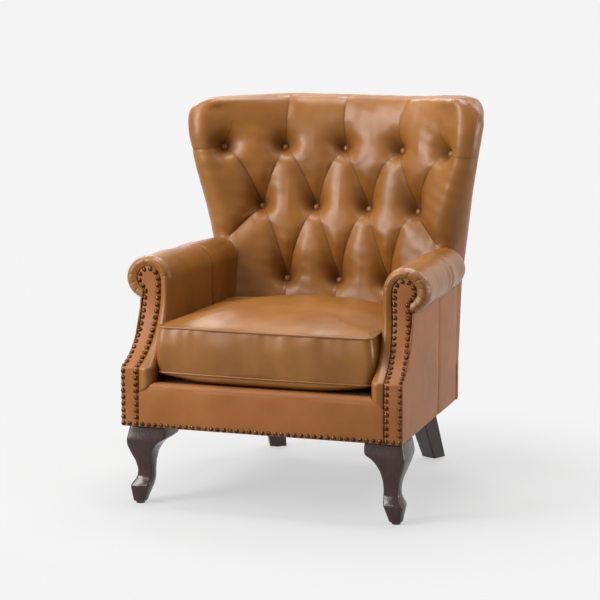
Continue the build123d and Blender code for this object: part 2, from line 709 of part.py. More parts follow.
def cushion_outline(z, inset):
    """Plan of the cushion at height z, drawn in by inset: bowed front, drawn-in sides, curved rear."""
    bottom = DECK_TOP + CUSHION_LIFT
    front = CUSHION_FRONT_Y + inset
    rear = face_y(bottom) - CUSHION_REAR_GAP - inset
    rear_side = rear - CUSHION_REAR_DROP
    radius = CUSHION_CORNER

    def side(y):
        return HALF_SEAT + splay_shift(y) - CUSHION_SIDE_GAP - inset

    middle = (front + rear_side) / 2
    corner = radius * (1 - math.sqrt(0.5))
    low, high = front + radius, rear_side - radius
    right_front, right_rear = side(front) - radius, side(rear_side) - radius
    rear_corner_y = rear_side + (rear - rear_side) * 0.16
    edges = [
        arc((-right_front, front), (0, front - CUSHION_BOW), (right_front, front)),
        arc((right_front, front), (side(front) - corner, front + corner), (side(low), low)),
        arc((side(low), low), (side(middle) - CUSHION_DRAW, middle), (side(high), high)),
        arc((side(high), high), (side(rear_side) - corner, rear_side - corner * 0.7), (right_rear, rear_corner_y)),
        arc((right_rear, rear_corner_y), (0, rear), (-right_rear, rear_corner_y)),
        arc((-right_rear, rear_corner_y), (corner - side(rear_side), rear_side - corner * 0.7), (-side(high), high)),
        arc((-side(high), high), (CUSHION_DRAW - side(middle), middle), (-side(low), low)),
        arc((-side(low), low), (corner - side(front), front + corner), (-right_front, front)),
    ]
    return Pos(0, 0, z) * Wire(edges)


def cushion_levels():
    """Heights of the cushion's lower and upper seams."""
    lower = DECK_TOP + CUSHION_LIFT + CUSHION_BOTTOM_CROWN
    return lower, lower + CUSHION_BOX


def cushion_crown(seam, height, skin):
    """Pillow from a seam to its crown; a negative height goes down."""
    steps = (0, 20, 45, 70, 88)
    sections = []
    for angle in steps:
        turn = math.radians(angle)
        rise = (height - math.copysign(skin, height)) * math.sin(turn)
        sections.append(cushion_outline(seam + rise, skin + CUSHION_CROWN_INSET * (1 - math.cos(turn))))
    lowest = DECK_TOP + CUSHION_LIFT + skin
    return single(Solid.make_loft(sections) & box(-FAR, FAR, 0, FAR, lowest, FAR))


def cushion_form(skin):
    """The whole cushion, drawn in by skin, as its lower crown, its box and its upper crown."""
    lower, upper = cushion_levels()
    middle = (lower + upper) / 2
    sides = Solid.make_loft(
        [cushion_outline(lower, skin), cushion_outline(middle, skin - CUSHION_BULGE / 2), cushion_outline(upper, skin)]
    )
    return cushion_crown(lower, -CUSHION_BOTTOM_CROWN, skin), sides, cushion_crown(upper, CUSHION_TOP_CROWN, skin)


def cushion_welt(seam):
    """Half-round bead along a seam."""
    sections = []
    for angle in (-80, -45, 0, 45, 80):
        turn = math.radians(angle)
        sections.append(cushion_outline(seam + WELT_RADIUS * math.sin(turn), -WELT_GAP - WELT_RADIUS * math.cos(turn)))
    opening = Solid.extrude(Face(cushion_outline(seam - WELT_RADIUS, -WELT_GAP)), Vector(0, 0, 2 * WELT_RADIUS))
    return single(Solid.make_loft(sections) - opening)


def cushion_pieces():
    """Foam core, leather panels and welts of the loose cushion."""
    outer, inner = cushion_form(0), cushion_form(LEATHER)
    foam = cushion_form(LEATHER + FOAM_GAP)
    core = single(foam[0] + foam[1] + foam[2])
    welts = [cushion_welt(seam) for seam in cushion_levels()]
    panels = [single(form - filling) for form, filling in zip(outer, inner)]
    return {
        "cushion_foam_core": core, "cushion_bottom_panel": panels[0], "cushion_boxing": panels[1],
        "cushion_top_panel": panels[2], "cushion_lower_welt": welts[0], "cushion_upper_welt": welts[1],
    }


# The legs


def rounded_square(x, y, z, size, turn=0.0):
    """Square with rounded corners, flat at height z and turned about its middle."""
    return Pos(x, y, z) * Rot(0, 0, turn) * RectangleRounded(size, size, min(LEG_EDGE, size / 4)).wire()


def front_leg():
    """Cabriole leg with its ears under the right front corner."""
    corner, height = side_x(0), LEG_TOP - GLIDE_HEIGHT
    lofts = []
    for stations in (CABRIOLE, CABRIOLE_EARS):
        sections = []
        for share, inset, size in stations:
            z = GLIDE_HEIGHT + share * height
            sections.append(rounded_square(corner - inset, inset + FRONT_LEG_SETBACK, z, size))
        lofts.append(Solid.make_loft(sections))
    return single(lofts[0] + lofts[1])


def rear_leg():
    """Square tapered leg under the right rear corner, raked back and splayed out."""
    x, y = REAR_LEG_TOP
    foot = rounded_square(
        x + REAR_LEG_SPLAY, y + REAR_LEG_RAKE, GLIDE_HEIGHT, REAR_LEG_FOOT_SIZE, REAR_LEG_TURN
    )
    top = rounded_square(x, y, LEG_TOP, REAR_LEG_TOP_SIZE, REAR_LEG_TURN)
    return Solid.make_loft([foot, top], ruled=True)


def leg_fittings():
    """Legs, glides, plates and bolts, with the bolts' holes cut."""
    front_xy, rear_xy = (side_x(0) - FRONT_BOLT_INSET, FRONT_BOLT_INSET), REAR_LEG_TOP
    foot_inset = CABRIOLE[0][1]
    feet = (
        (side_x(0) - foot_inset, foot_inset + FRONT_LEG_SETBACK),
        (REAR_LEG_TOP[0] + REAR_LEG_SPLAY, REAR_LEG_TOP[1] + REAR_LEG_RAKE),
    )
    legs, plates, bolts, glides = [], [], [], []
    for leg, (x, y), (foot_x, foot_y) in zip((front_leg(), rear_leg()), (front_xy, rear_xy), feet):
        low, high = LEG_TOP - BOLT_IN_LEG, RAIL_BOTTOM + BOLT_IN_BLOCK
        bolt = Pos(x, y, (low + high) / 2) * Cylinder(BOLT_RADIUS, high - low)
        half = LEG_PLATE_SIZE / 2
        plate = box(x - half, x + half, y - half, y + half, LEG_TOP, COVER_BOTTOM)
        legs.append(single(leg - bolt))
        plates.append(single(plate - bolt))
        bolts.append(single(bolt))
        glides.append(single(Pos(foot_x, foot_y, GLIDE_HEIGHT / 2) * Cylinder(GLIDE_RADIUS, GLIDE_HEIGHT)))
    return legs, plates, bolts, glides


# The nails


def nail(point, out):
    """Domed nail head at a place on the leather, facing out of it."""
    edges = [
        Line((0, 0, 0), (NAIL_RADIUS, 0, 0)),
        dome(NAIL_RADIUS, 0, NAIL_CROWN),
        Line((0, 0, NAIL_CROWN), (0, 0, 0)),
    ]
    place = Plane(origin=Vector(*point) + Vector(*out) * NAIL_SEAT, z_dir=out)
    return single(place * revolve(face_of(edges), axis=Axis.Z))


def scoop_normal(z):
    """The way the arm front faces at height z."""
    if z <= KINK_Z or z >= SCOOP_TOP:
        return (0, -1, 0)
    radius = scoop_radius()
    return (0, -math.sqrt(1 - ((SCOOP_TOP - z) / radius) ** 2), (SCOOP_TOP - z) / radius)


def nail_line():
    """Front-view line of the nails on the right arm, up the outside, round the roll and down the inside."""
    s = facing_section(NAIL_EDGE)
    low = BASE_HEIGHT + NAIL_EDGE + NAIL_PITCH
    turn = math.atan2(s["neck"] - ROLL_Z, s["right"] - ROLL_X)
    line = [(s["right_base"], low), (s["right_base"], KINK_Z), (s["right"], SCOOP_TOP), (s["right"], s["neck"])]
    arc_steps = 24
    for step in range(1, arc_steps + 1):
        angle = turn + (math.pi - turn) * step / arc_steps
        line.append((ROLL_X + s["radius"] * math.cos(angle), ROLL_Z + s["radius"] * math.sin(angle)))
    return line + [(s["left"], SCOOP_TOP), (s["left_base"], KINK_Z), (s["left_base"], low)]


def arm_nails():
    """Nails evenly spaced along the nail line of the right arm."""
    fine = 4.0
    line = nail_line()
    points = [Vector(line[0][0] + splay_shift(0), 0, line[0][1])]
    for (x0, z0), (x1, z1) in zip(line, line[1:]):
        count = max(1, round(math.hypot(x1 - x0, z1 - z0) / fine))
        for step in range(1, count + 1):
            x, z = x0 + (x1 - x0) * step / count, z0 + (z1 - z0) * step / count
            y = arm_front_y(z)
            points.append(Vector(x + splay_shift(y), y, z))
    lengths = [0.0]
    for a, b in zip(points, points[1:]):
        lengths.append(lengths[-1] + (b - a).length)
    count = round(lengths[-1] / NAIL_PITCH)
    nails, index = [], 0
    for number in range(count + 1):
        target = lengths[-1] * number / count
        while index < len(points) - 2 and lengths[index + 1] < target:
            index += 1
        share = (target - lengths[index]) / (lengths[index + 1] - lengths[index])
        spot = points[index] + (points[index + 1] - points[index]) * share
        place = (spot.X, arm_front_y(spot.Z), spot.Z)
        nails.append(nail(place, scoop_normal(spot.Z)))
    return Compound(children=nails)


def base_nails():
    """The row of nails along the foot of the front."""
    half = HALF_BASE + splay_shift(0) - NAIL_EDGE
    count = round(2 * half / NAIL_PITCH)
    z = BASE_HEIGHT + NAIL_EDGE
    return Compound(
        children=[nail((half * (2 * number / count - 1), 0, z), (0, -1, 0)) for number in range(count + 1)]
    )


# Putting it together


def pair(name, shape):
    """A right-hand piece and its mirror image."""
    return {"right_" + name: shape, "left_" + name: mirror(shape, about=Plane.YZ)}


def both(shapes):
    """One group of the right-hand shapes and their mirror images."""
    return Compound(children=[*shapes, *[mirror(shape, about=Plane.YZ) for shape in shapes]])


def seat_deck():
    """Padded deck on the springs, between the arms and the back."""
    rear, sag = face_y(DECK_BOTTOM) - DECK_GAP, LOW_FORWARD
    half_front = HALF_SEAT + splay_shift(APRON_THICKNESS)
    half_rear = wing_inner(DECK_BOTTOM) - DECK_GAP
    edges = [
        arc((half_rear, rear - sag), (0, rear), (-half_rear, rear - sag)),
        *Polyline(
            (-half_rear, rear - sag), (-half_front, APRON_THICKNESS), (half_front, APRON_THICKNESS),
            (half_rear, rear - sag),
        ).edges(),
    ]
    return Solid.extrude(Pos(0, 0, DECK_BOTTOM) * face_of(edges), Vector(0, 0, DECK_THICKNESS))


def build():
    """All nodes of the chair by name."""
    apron, scoop = front_apron(), behind_scoop()
    facing = arm_facing(scoop)
    pad, front_panel, rear_panel, stump, arm_rail = arm_pieces(scoop, facing, apron)
    envelope = arm_envelope()
    nodes = back_pieces([envelope, mirror(envelope, about=Plane.YZ)])
    nodes.update(
        pair("arm_pad", pad) | pair("arm_facing", facing) | pair("outside_arm_panel", front_panel)
        | pair("rear_side_panel", rear_panel) | pair("arm_stump", stump) | pair("arm_rail", arm_rail)
    )
    front_rail, rear_rail, side_rail = seat_rails()
    legs, plates, bolts, glides = leg_fittings()
    cover = single(base_inner(COVER_BOTTOM, RAIL_BOTTOM) - list(both(bolts).solids()))
    nodes.update(pair("side_rail", side_rail))
    nodes.update(pair("front_corner_block", single(front_corner_block(side_rail) - bolts[0])))
    nodes.update(pair("rear_leg_block", single(rear_leg_block() - bolts[1])))
    nodes.update(pair("front_leg", legs[0]) | pair("rear_leg", legs[1]))
    springs, clips = seat_springs()
    nodes.update({
        "front_rail": front_rail, "rear_rail": rear_rail, "base_rear_panel": base_rear_panel(),
        "front_apron": apron, "dust_cover": cover, "seat_springs": springs, "spring_clips": clips,
        "seat_deck": seat_deck(), "leg_plates": both(plates), "leg_bolts": both(bolts),
        "foot_glides": both(glides), "front_nails": base_nails(),
    })
    nodes.update(pair("arm_nails", arm_nails()))
    nodes.update(cushion_pieces())
    return nodes


parts = build()
bounds = Compound(children=[Compound(children=shape.solids()) for shape in parts.values()]).bounding_box()
centring = Pos(0, -bounds.center().Y, 0)
os.makedirs("parts", exist_ok=True)
for node_name, node_shape in sorted(parts.items()):
    export_step(centring * node_shape, f"parts/{node_name}.step")
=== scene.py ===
# Looks of a tan leather club armchair: tufted barrel back, rolled arms with nail trim, loose welted cushion.
# Pieces are shaped in millimetres with the front face of the base at y = 0, then moved into the frame.

import enum
import json
import logging
import math
from dataclasses import dataclass, field

import bpy
import numpy as np
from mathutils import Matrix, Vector


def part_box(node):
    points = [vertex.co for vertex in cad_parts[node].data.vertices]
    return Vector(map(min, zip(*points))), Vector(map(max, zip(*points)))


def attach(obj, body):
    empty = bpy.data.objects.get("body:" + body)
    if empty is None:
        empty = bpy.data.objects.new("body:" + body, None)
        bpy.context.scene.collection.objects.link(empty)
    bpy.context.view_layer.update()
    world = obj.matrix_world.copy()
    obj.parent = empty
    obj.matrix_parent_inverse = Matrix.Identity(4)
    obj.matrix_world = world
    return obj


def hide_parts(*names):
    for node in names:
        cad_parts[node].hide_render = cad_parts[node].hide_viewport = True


Array = np.ndarray
Pair, Triple = tuple[float, float], tuple[float, float, float]
Material, Mesh, Object = bpy.types.Material, bpy.types.Mesh, bpy.types.Object
Socket, Tree = bpy.types.NodeSocket, bpy.types.NodeTree

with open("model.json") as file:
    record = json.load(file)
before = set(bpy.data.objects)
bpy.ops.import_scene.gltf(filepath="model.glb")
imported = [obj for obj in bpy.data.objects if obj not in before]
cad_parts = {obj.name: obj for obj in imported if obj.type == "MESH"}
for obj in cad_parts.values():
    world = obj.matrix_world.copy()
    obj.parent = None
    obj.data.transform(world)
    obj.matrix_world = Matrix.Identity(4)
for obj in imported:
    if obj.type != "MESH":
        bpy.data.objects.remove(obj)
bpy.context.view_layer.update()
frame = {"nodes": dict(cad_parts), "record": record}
METRE = 1000.0
MILLIMETRE = 0.001
BASE_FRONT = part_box("front_apron")[0].y * METRE
LOG = logging.getLogger("armchair")
TINY = 1e-9

# Soft noise: number of waves, spread of their lengths, and the level that brings their sum to about one.
NOISE_WAVES = 7
NOISE_SPREAD = (0.6, 1.5)
NOISE_LEVEL = 3.0

# Finishes by the record's material slot. The panel leather shares the slot of the pads' leather.
LEATHER, PANEL, NAILS, WOOD = "tan_leather", "panel_leather", "bronze_nails", "dark_wood"


class Body(enum.Enum):
    """Bodies of the chair that pieces ride on."""

    CHAIR = "chair"
    CUSHION = "seat_cushion"


class Side(enum.Enum):
    """The two sides of the chair, as the sign of x."""

    LEFT = -1
    RIGHT = 1

    @property
    def word(self) -> str:
        """The side as a word in names."""
        return self.name.lower()


def srgb(code: str) -> tuple[float, float, float, float]:
    """Turn an sRGB hex colour into linear RGBA.

    Args:
        code: Six hex digits with a leading hash.

    Returns:
        Linear red, green, blue and an alpha of one.
    """
    parts = [int(code[i:i + 2], 16) / 255.0 for i in (1, 3, 5)]
    return (*[c / 12.92 if c <= 0.04045 else ((c + 0.055) / 1.055) ** 2.4 for c in parts], 1.0)


def plug(tree: Tree, node: bpy.types.Node, links: dict) -> None:
    """Link or set inputs of a node.

    Args:
        tree: Node tree that holds the node.
        node: The node.
        links: Input name (underscores for spaces) or i0, i1 for a number, to an output socket or a value.
    """
    for name, value in links.items():
        key = int(name[1:]) if name[0] == "i" and name[1:].isdigit() else name.replace("_", " ")
        if isinstance(value, Socket):
            tree.links.new(value, node.inputs[key])
        else:
            node.inputs[key].default_value = value


def add_node(tree: Tree, kind: str, settings: dict | None = None, **links) -> bpy.types.Node:
    """Add one node with its settings and inputs.

    Args:
        tree: Node tree that gets the node.
        kind: Blender's node type name.
        settings: Node properties by name.
        **links: Inputs, as plug takes them.

    Returns:
        The new node.
    """
    made = tree.nodes.new(kind)
    for name, value in (settings or {}).items():
        setattr(made, name, value)
    plug(tree, made, links)
    return made


def maths(tree: Tree, operation: str, *values) -> Socket:
    """Result of a Math node on sockets or values."""
    inputs = {f"i{place}": value for place, value in enumerate(values)}
    return add_node(tree, "ShaderNodeMath", {"operation": operation}, **inputs).outputs[0]


def new_material(name: str) -> tuple[Material, Tree, Socket]:
    """Make an empty node material.

    Args:
        name: Name of the real material.

    Returns:
        The material, its node tree and the Object coordinates.
    """
    material = bpy.data.materials.new(name)
    material.use_nodes = True
    tree = material.node_tree
    tree.nodes.clear()
    return material, tree, add_node(tree, "ShaderNodeTexCoord").outputs["Object"]


def tone_ramp(tree: Tree, factor: Socket, tones: tuple[str, str],
              span: Pair = (0.0, 1.0)) -> Socket:
    """Blend between two tones.

    Args:
        tree: Node tree of the material.
        factor: Pattern that blends them.
        tones: The tones as hex colours.
        span: Pattern values of the two tones.

    Returns:
        The blended colour.
    """
    ramp = add_node(tree, "ShaderNodeValToRGB", Fac=factor)
    for stop, place, code in zip(ramp.color_ramp.elements, span, tones):
        stop.position, stop.color = place, srgb(code)
    return ramp.outputs["Color"]


def add_shader(tree: Tree, relief: tuple[Socket, float, float] | None = None,
               **links) -> None:
    """Add the Principled shader and the output of a material.

    Args:
        tree: Node tree of the material.
        relief: Height, strength and distance in metres of the bump, or None for a plain surface.
        **links: Inputs of the shader, as plug takes them.
    """
    if relief:
        height, strength, distance = relief
        bump = add_node(tree, "ShaderNodeBump", Height=height, Strength=strength, Distance=distance)
        links["Normal"] = bump.outputs["Normal"]
    shader = add_node(tree, "ShaderNodeBsdfPrincipled", **links)
    add_node(tree, "ShaderNodeOutputMaterial", Surface=shader.outputs["BSDF"])


def per_mm(size: float) -> float:
    """Texture scale that gives a feature of this size in millimetres on Object coordinates."""
    return METRE / size


@dataclass(frozen=True)
class LeatherFinish:
    """Smooth corrected-grain leather, drum dyed and waxed: even tan and satin sheen, with painted shade that
    darkens it in folds, pits and seams.
    """

    name: str = "tan_grain_leather"
    light: str = "#86551E"
    dark: str = "#744616"
    # Colour of the painted shade in folds, pits and seams.
    fold: str = "#331500"
    roughness: float = 0.355
    specular: float = 0.35
    mottle_mm: float = 140.0
    mottle_span: Pair = (0.32, 0.68)
    grain_mm: float = 2.6
    pore_mm: float = 23.4
    pore_share: float = 1.4
    grain_relief: Pair = (0.05, 0.0012)
    shine_spread: Pair = (-0.05, 0.07)
    fold_dull: float = 0.4

    def build(self) -> Material:
        """Make the leather material."""
        material, tree, place = new_material(self.name)
        mottle = add_node(tree, "ShaderNodeTexNoise", Vector=place, Scale=per_mm(self.mottle_mm), Detail=4.0,
                          Roughness=0.55)
        tone = tone_ramp(tree, mottle.outputs["Fac"], (self.dark, self.light), self.mottle_span)
        # Painted shade: the tone is blended towards the fold colour where the mesh's crease mark says a fold,
        # pit or seam lies.
        crease = add_node(tree, "ShaderNodeAttribute", {"attribute_name": "crease"}).outputs["Fac"]
        colour = add_node(tree, "ShaderNodeMix", {"data_type": "RGBA"}, Factor=crease, i6=tone,
                          i7=srgb(self.fold))
        grain = add_node(tree, "ShaderNodeTexVoronoi", {"feature": "SMOOTH_F1"}, Vector=place,
                         Scale=per_mm(self.grain_mm), Smoothness=0.6)
        pores = add_node(tree, "ShaderNodeTexNoise", Vector=place, Scale=per_mm(self.pore_mm), Detail=5.0)
        relief = maths(tree, "MULTIPLY_ADD", pores.outputs["Fac"], self.pore_share, grain.outputs["Distance"])
        low, high = (self.roughness + spread for spread in self.shine_spread)
        shine = add_node(tree, "ShaderNodeMapRange", Value=pores.outputs["Fac"], To_Min=low, To_Max=high)
        dull = maths(tree, "MULTIPLY_ADD", crease, self.fold_dull, shine.outputs[0])
        add_shader(tree, (relief, *self.grain_relief), Base_Color=colour.outputs[2], Roughness=dull, IOR=1.5,
                   Specular_IOR_Level=self.specular)
        return material


@dataclass(frozen=True)
class Finish:
    """Two tones blended by a pattern. By itself it is an even tone with slight cloudiness."""

    name: str
    light: str
    dark: str
    roughness: float
    metallic: float = 0.0
    size_mm: float = 14.0
    span: Pair = (0.3, 0.7)
    relief: Pair | None = None

    def pattern(self, tree: Tree, place: Socket) -> Socket:
        """Add the pattern that blends the tones."""
        return add_node(tree, "ShaderNodeTexNoise", Vector=place, Scale=per_mm(self.size_mm),
                        Detail=3.0).outputs["Fac"]

    def build(self) -> Material:
        """Make the material."""
        material, tree, place = new_material(self.name)
        pattern = self.pattern(tree, place)
        tone = tone_ramp(tree, pattern, (self.dark, self.light), self.span)
        add_shader(tree, self.relief and (pattern, *self.relief), Base_Color=tone, Metallic=self.metallic,
                   Roughness=self.roughness)
        return material


@dataclass(frozen=True)
class TimberFinish(Finish):
    """Sanded hardwood, stained or left bare: long grain along one axis."""

    size_mm: float = 9.0
    span: Pair = (0.34, 0.7)
    relief: Pair | None = (0.08, 0.0006)
    stretch: Triple = (1.0, 1.0, 0.07)

    def pattern(self, tree: Tree, place: Socket) -> Socket:
        """Add the grain."""
        along = add_node(tree, "ShaderNodeMapping", Vector=place, Scale=self.stretch).outputs["Vector"]
        return add_node(tree, "ShaderNodeTexNoise", Vector=along, Scale=per_mm(self.size_mm), Detail=6.0,
                        Roughness=0.62, Distortion=0.6).outputs["Fac"]


@dataclass(frozen=True)
class ClothFinish(Finish):
    """Plain woven cloth or webbing: two thread directions as fine crossed ridges."""

    roughness: float = 0.9
    span: Pair = (0.0, 1.0)
    relief: Pair | None = (0.3, 0.0008)
    wave_units: float = 20.0

    def pattern(self, tree: Tree, place: Socket) -> Socket:
        """Add the weave."""
        # One wave spans about twenty scale units, so the thread spacing is divided by that.
        scale = per_mm(self.size_mm) / self.wave_units
        warp, weft = (add_node(tree, "ShaderNodeTexWave", {"bands_direction": way}, Vector=place, Scale=scale)
                      for way in ("X", "Z"))
        return maths(tree, "MULTIPLY", warp.outputs["Fac"], weft.outputs["Fac"])


FINISHES = {
    LEATHER: LeatherFinish(),
    # The panel leather is a copy of the tan leather, rougher and less shiny. Its lighter, pinker tone is
    # partly the leather's own colour and partly painted sheen for the glancing light on the upright panels.
    # Its fold colour is painted shade in the seams.
    PANEL: LeatherFinish("matched_panel_leather", "#8F572B", "#7E4C20", "#2A1302", 0.47, 0.22),
    NAILS: Finish("antique_bronze", "#6E4A2C", "#25140B", 0.34, 0.9, 5.0, (0.35, 0.75), (0.2, 0.0006)),
    WOOD: TimberFinish("stained_mahogany", "#3A1612", "#240D0B", 0.22),
    "frame_timber": TimberFinish("sawn_beech", "#D2AE7C", "#B58A58", 0.7),
    "black_cambric": ClothFinish("black_cambric", "#1C1C1E", "#0C0C0D", size_mm=2.0),
    "upholstery_cloth": ClothFinish("brown_platform_cloth", "#4B3119", "#38230F", size_mm=2.0),
    "jute_webbing": ClothFinish("jute_webbing", "#B08F5C", "#7C5F36", size_mm=3.0),
    "zinc_steel": Finish("zinc_plated_steel", "#B9BBBD", "#8E9194", 0.38, 1.0),
    "glide_plastic": Finish("moulded_nylon", "#2A2A2B", "#1B1B1C", 0.5),
    "foam": Finish("polyurethane_foam", "#E9DFBE", "#D8CCA4", 0.95, size_mm=3.0),
}


def in_frame(points: Array) -> Array:
    """Move points from millimetres at the base front into the frame, in metres."""
    return (points + np.array([0.0, BASE_FRONT, 0.0])) * MILLIMETRE


def turn_outward(mesh: Mesh) -> None:
    """Flip a closed mesh whose faces point inwards."""
    mesh.calc_loop_triangles()
    corners = np.zeros(len(mesh.loop_triangles) * 3, np.int32)
    mesh.loop_triangles.foreach_get("vertices", corners)
    places = np.zeros(len(mesh.vertices) * 3)
    mesh.vertices.foreach_get("co", places)
    tri = places.reshape(-1, 3)[corners.reshape(-1, 3)]
    volume = np.einsum("ij,ij->i", tri[:, 0], np.cross(tri[:, 1], tri[:, 2])).sum()
    if volume < 0:
        mesh.flip_normals()


def quads(grid: Array) -> list:
    """Faces between neighbours in a grid of point numbers."""
    return np.stack([grid[:-1, :-1], grid[:-1, 1:], grid[1:, 1:], grid[1:, :-1]], -1).reshape(-1, 4).tolist()


def loft_faces(rows: int, loop: int, joined: bool = False) -> list:
    """Faces between closed loops of points.

    Args:
        rows: Number of loops.
        loop: Points in each loop.
        joined: Whether the last loop joins the first one. Otherwise both get a cap.

    Returns:
        Index lists.
    """
    index = np.arange(rows * loop).reshape(rows, loop)
    around = np.concatenate([index, index[:, :1]], axis=1)
    if joined:
        return quads(np.concatenate([around, around[:1]]))
    return quads(around) + [index[0, ::-1].tolist(), index[-1].tolist()]


def arc_through(a, b, c, count: int) -> Array:
    """Evenly spaced points on the arc from a through b to c in a plane.

    Args:
        a: First point.
        b: Point on the way.
        c: Last point.
        count: Number of points, ends included.

    Returns:
        Array of points.
    """
    a, b, c = (np.asarray(p, float) for p in (a, b, c))
    matrix = 2 * np.array([b - a, c - a])
    centre = np.linalg.solve(matrix, np.array([b @ b - a @ a, c @ c - a @ a]))
    radius = np.linalg.norm(a - centre)
    angles = [math.atan2(*(p - centre)[::-1]) for p in (a, b, c)]
    sweep = (angles[2] - angles[0]) % math.tau
    if (angles[1] - angles[0]) % math.tau > sweep:
        sweep -= math.tau
    turn = angles[0] + sweep * np.linspace(0, 1, count)
    return centre + radius * np.stack([np.cos(turn), np.sin(turn)], axis=-1)


def smoothed(values: Array, passes: int, axis: int = 0) -> Array:
    """Even out an array along an axis, with its ends kept."""
    values = np.moveaxis(values.copy(), axis, 0)
    for _ in range(passes):
        values[1:-1] += 0.5 * (0.5 * (values[:-2] + values[2:]) - values[1:-1])
    return np.moveaxis(values, 0, axis)


def spread_evenly(line: Array, count: int) -> Array:
    """Points evenly spaced along a line of points."""
    lengths = np.concatenate([[0], np.cumsum(np.linalg.norm(np.diff(line, axis=0), axis=1))])
    wanted = np.linspace(0, lengths[-1], count)
    return np.stack([np.interp(wanted, lengths, line[:, k]) for k in range(line.shape[1])], axis=-1)


def at_height(line: Array, z) -> Array:
    """Points of a plan line, lifted to one height or to a height each."""
    return np.column_stack([line, np.broadcast_to(z, len(line))])


def at_depth(line: Array, y) -> Array:
    """Points of a front view line, set to one depth or to a depth each."""
    return np.column_stack([line[:, 0], np.broadcast_to(y, len(line)), line[:, 1]])


def smoothstep(share):
    """Ease from 0 to 1 without a kink at either end."""
    return share * share * (3 - 2 * share)


def share_of(value, low: float, high: float) -> Array:
    """How far a value lies on the way from low to high, kept between 0 and 1."""
    return np.clip((value - low) / (high - low), 0, 1)


def bell(gap, reach: float) -> Array:
    """One where the gap is zero, falling off like a bell within about the reach."""
    return np.exp(-(gap / reach) ** 2)


def squeezed(values: Array, middle: float, share: Array, least: float) -> Array:
    """Values beyond a middle, drawn in towards it down to the least share of their distance."""
    return np.where(values > middle, middle + (values - middle) * (least + (1 - least) * share), values)


def grid_normals(grid: Array, probe: tuple[int, int], way: Triple) -> Array:
    """Unit normals of a grid of points.

    Args:
        grid: Points by row and column.
        probe: Row and column of a point whose facing is known.
        way: The way that point faces.

    Returns:
        Normals by row and column.
    """
    normal = np.cross(np.gradient(grid, axis=1), np.gradient(grid, axis=0))
    normal /= np.maximum(np.linalg.norm(normal, axis=-1, keepdims=True), TINY)
    return normal if normal[probe] @ way > 0 else -normal


def soft_noise(points: Array, size: float, seed: int) -> Array:
    """Smooth unevenness of about plus and minus one, from a few seeded waves.

    Args:
        points: Points in millimetres, any shape ending in 3.
        size: Length of the waves in millimetres.
        seed: Fixed seed.

    Returns:
        Array of the leading shape.
    """
    rng = np.random.default_rng(seed)
    total = np.zeros(points.shape[:-1])
    for _ in range(NOISE_WAVES):
        way = rng.normal(size=3)
        way *= rng.uniform(*NOISE_SPREAD) * math.tau / size / np.linalg.norm(way)
        total += np.sin(points @ way + rng.uniform(0, math.tau))
    return total / NOISE_LEVEL


def uneven(points: Array, *waves: tuple[float, float, int]) -> Array:
    """Unevenness of worked leather, as a sum of soft noises given by height, length and seed."""
    return sum(tall * soft_noise(points, size, seed) for tall, size, seed in waves)


def dome_tree() -> Tree:
    """Geometry node tree that sets a flattened ball on each point, turned to the point's facing.

    Returns:
        The node tree.
    """
    tree = bpy.data.node_groups.new("domes_on_points", "GeometryNodeTree")
    for name, kind in (("Geometry", "Geometry"), ("Radius", "Float"), ("Crown", "Float"), ("Seed", "Int"),
                       ("Material", "Material")):
        tree.interface.new_socket(name, in_out="INPUT", socket_type="NodeSocket" + kind)
    tree.interface.new_socket("Geometry", in_out="OUTPUT", socket_type="NodeSocketGeometry")
    given = add_node(tree, "NodeGroupInput").outputs
    facing = add_node(tree, "GeometryNodeInputNamedAttribute", {"data_type": "FLOAT_VECTOR"}, Name="facing")
    turn = add_node(tree, "FunctionNodeAlignRotationToVector", {"axis": "Z"},
                    Vector=facing.outputs["Attribute"])
    ball = add_node(tree, "GeometryNodeMeshUVSphere", Segments=14, Rings=8, Radius=1.0)
    shape = add_node(tree, "ShaderNodeCombineXYZ", X=given["Radius"], Y=given["Radius"], Z=given["Crown"])
    head = add_node(tree, "GeometryNodeTransform", Geometry=ball.outputs["Mesh"], Scale=shape.outputs[0])
    # Inputs 2 and 3 are the least and the greatest scale of a head.
    spread = add_node(tree, "FunctionNodeRandomValue", {"data_type": "FLOAT"}, i2=0.95, i3=1.04,
                      Seed=given["Seed"])
    placed = add_node(tree, "GeometryNodeInstanceOnPoints", Points=given["Geometry"],
                      Instance=head.outputs["Geometry"], Rotation=turn.outputs["Rotation"],
                      Scale=spread.outputs[1])
    real = add_node(tree, "GeometryNodeRealizeInstances", Geometry=placed.outputs["Instances"])
    smooth = add_node(tree, "GeometryNodeSetShadeSmooth", Geometry=real.outputs["Geometry"])
    dressed = add_node(tree, "GeometryNodeSetMaterial", Geometry=smooth.outputs["Geometry"],
                       Material=given["Material"])
    add_node(tree, "NodeGroupOutput", Geometry=dressed.outputs["Geometry"])
    return tree


@dataclass(frozen=True)
class Head:
    """Sizes in millimetres of a domed head, of a nail or a button."""

    radius: float
    crown: float


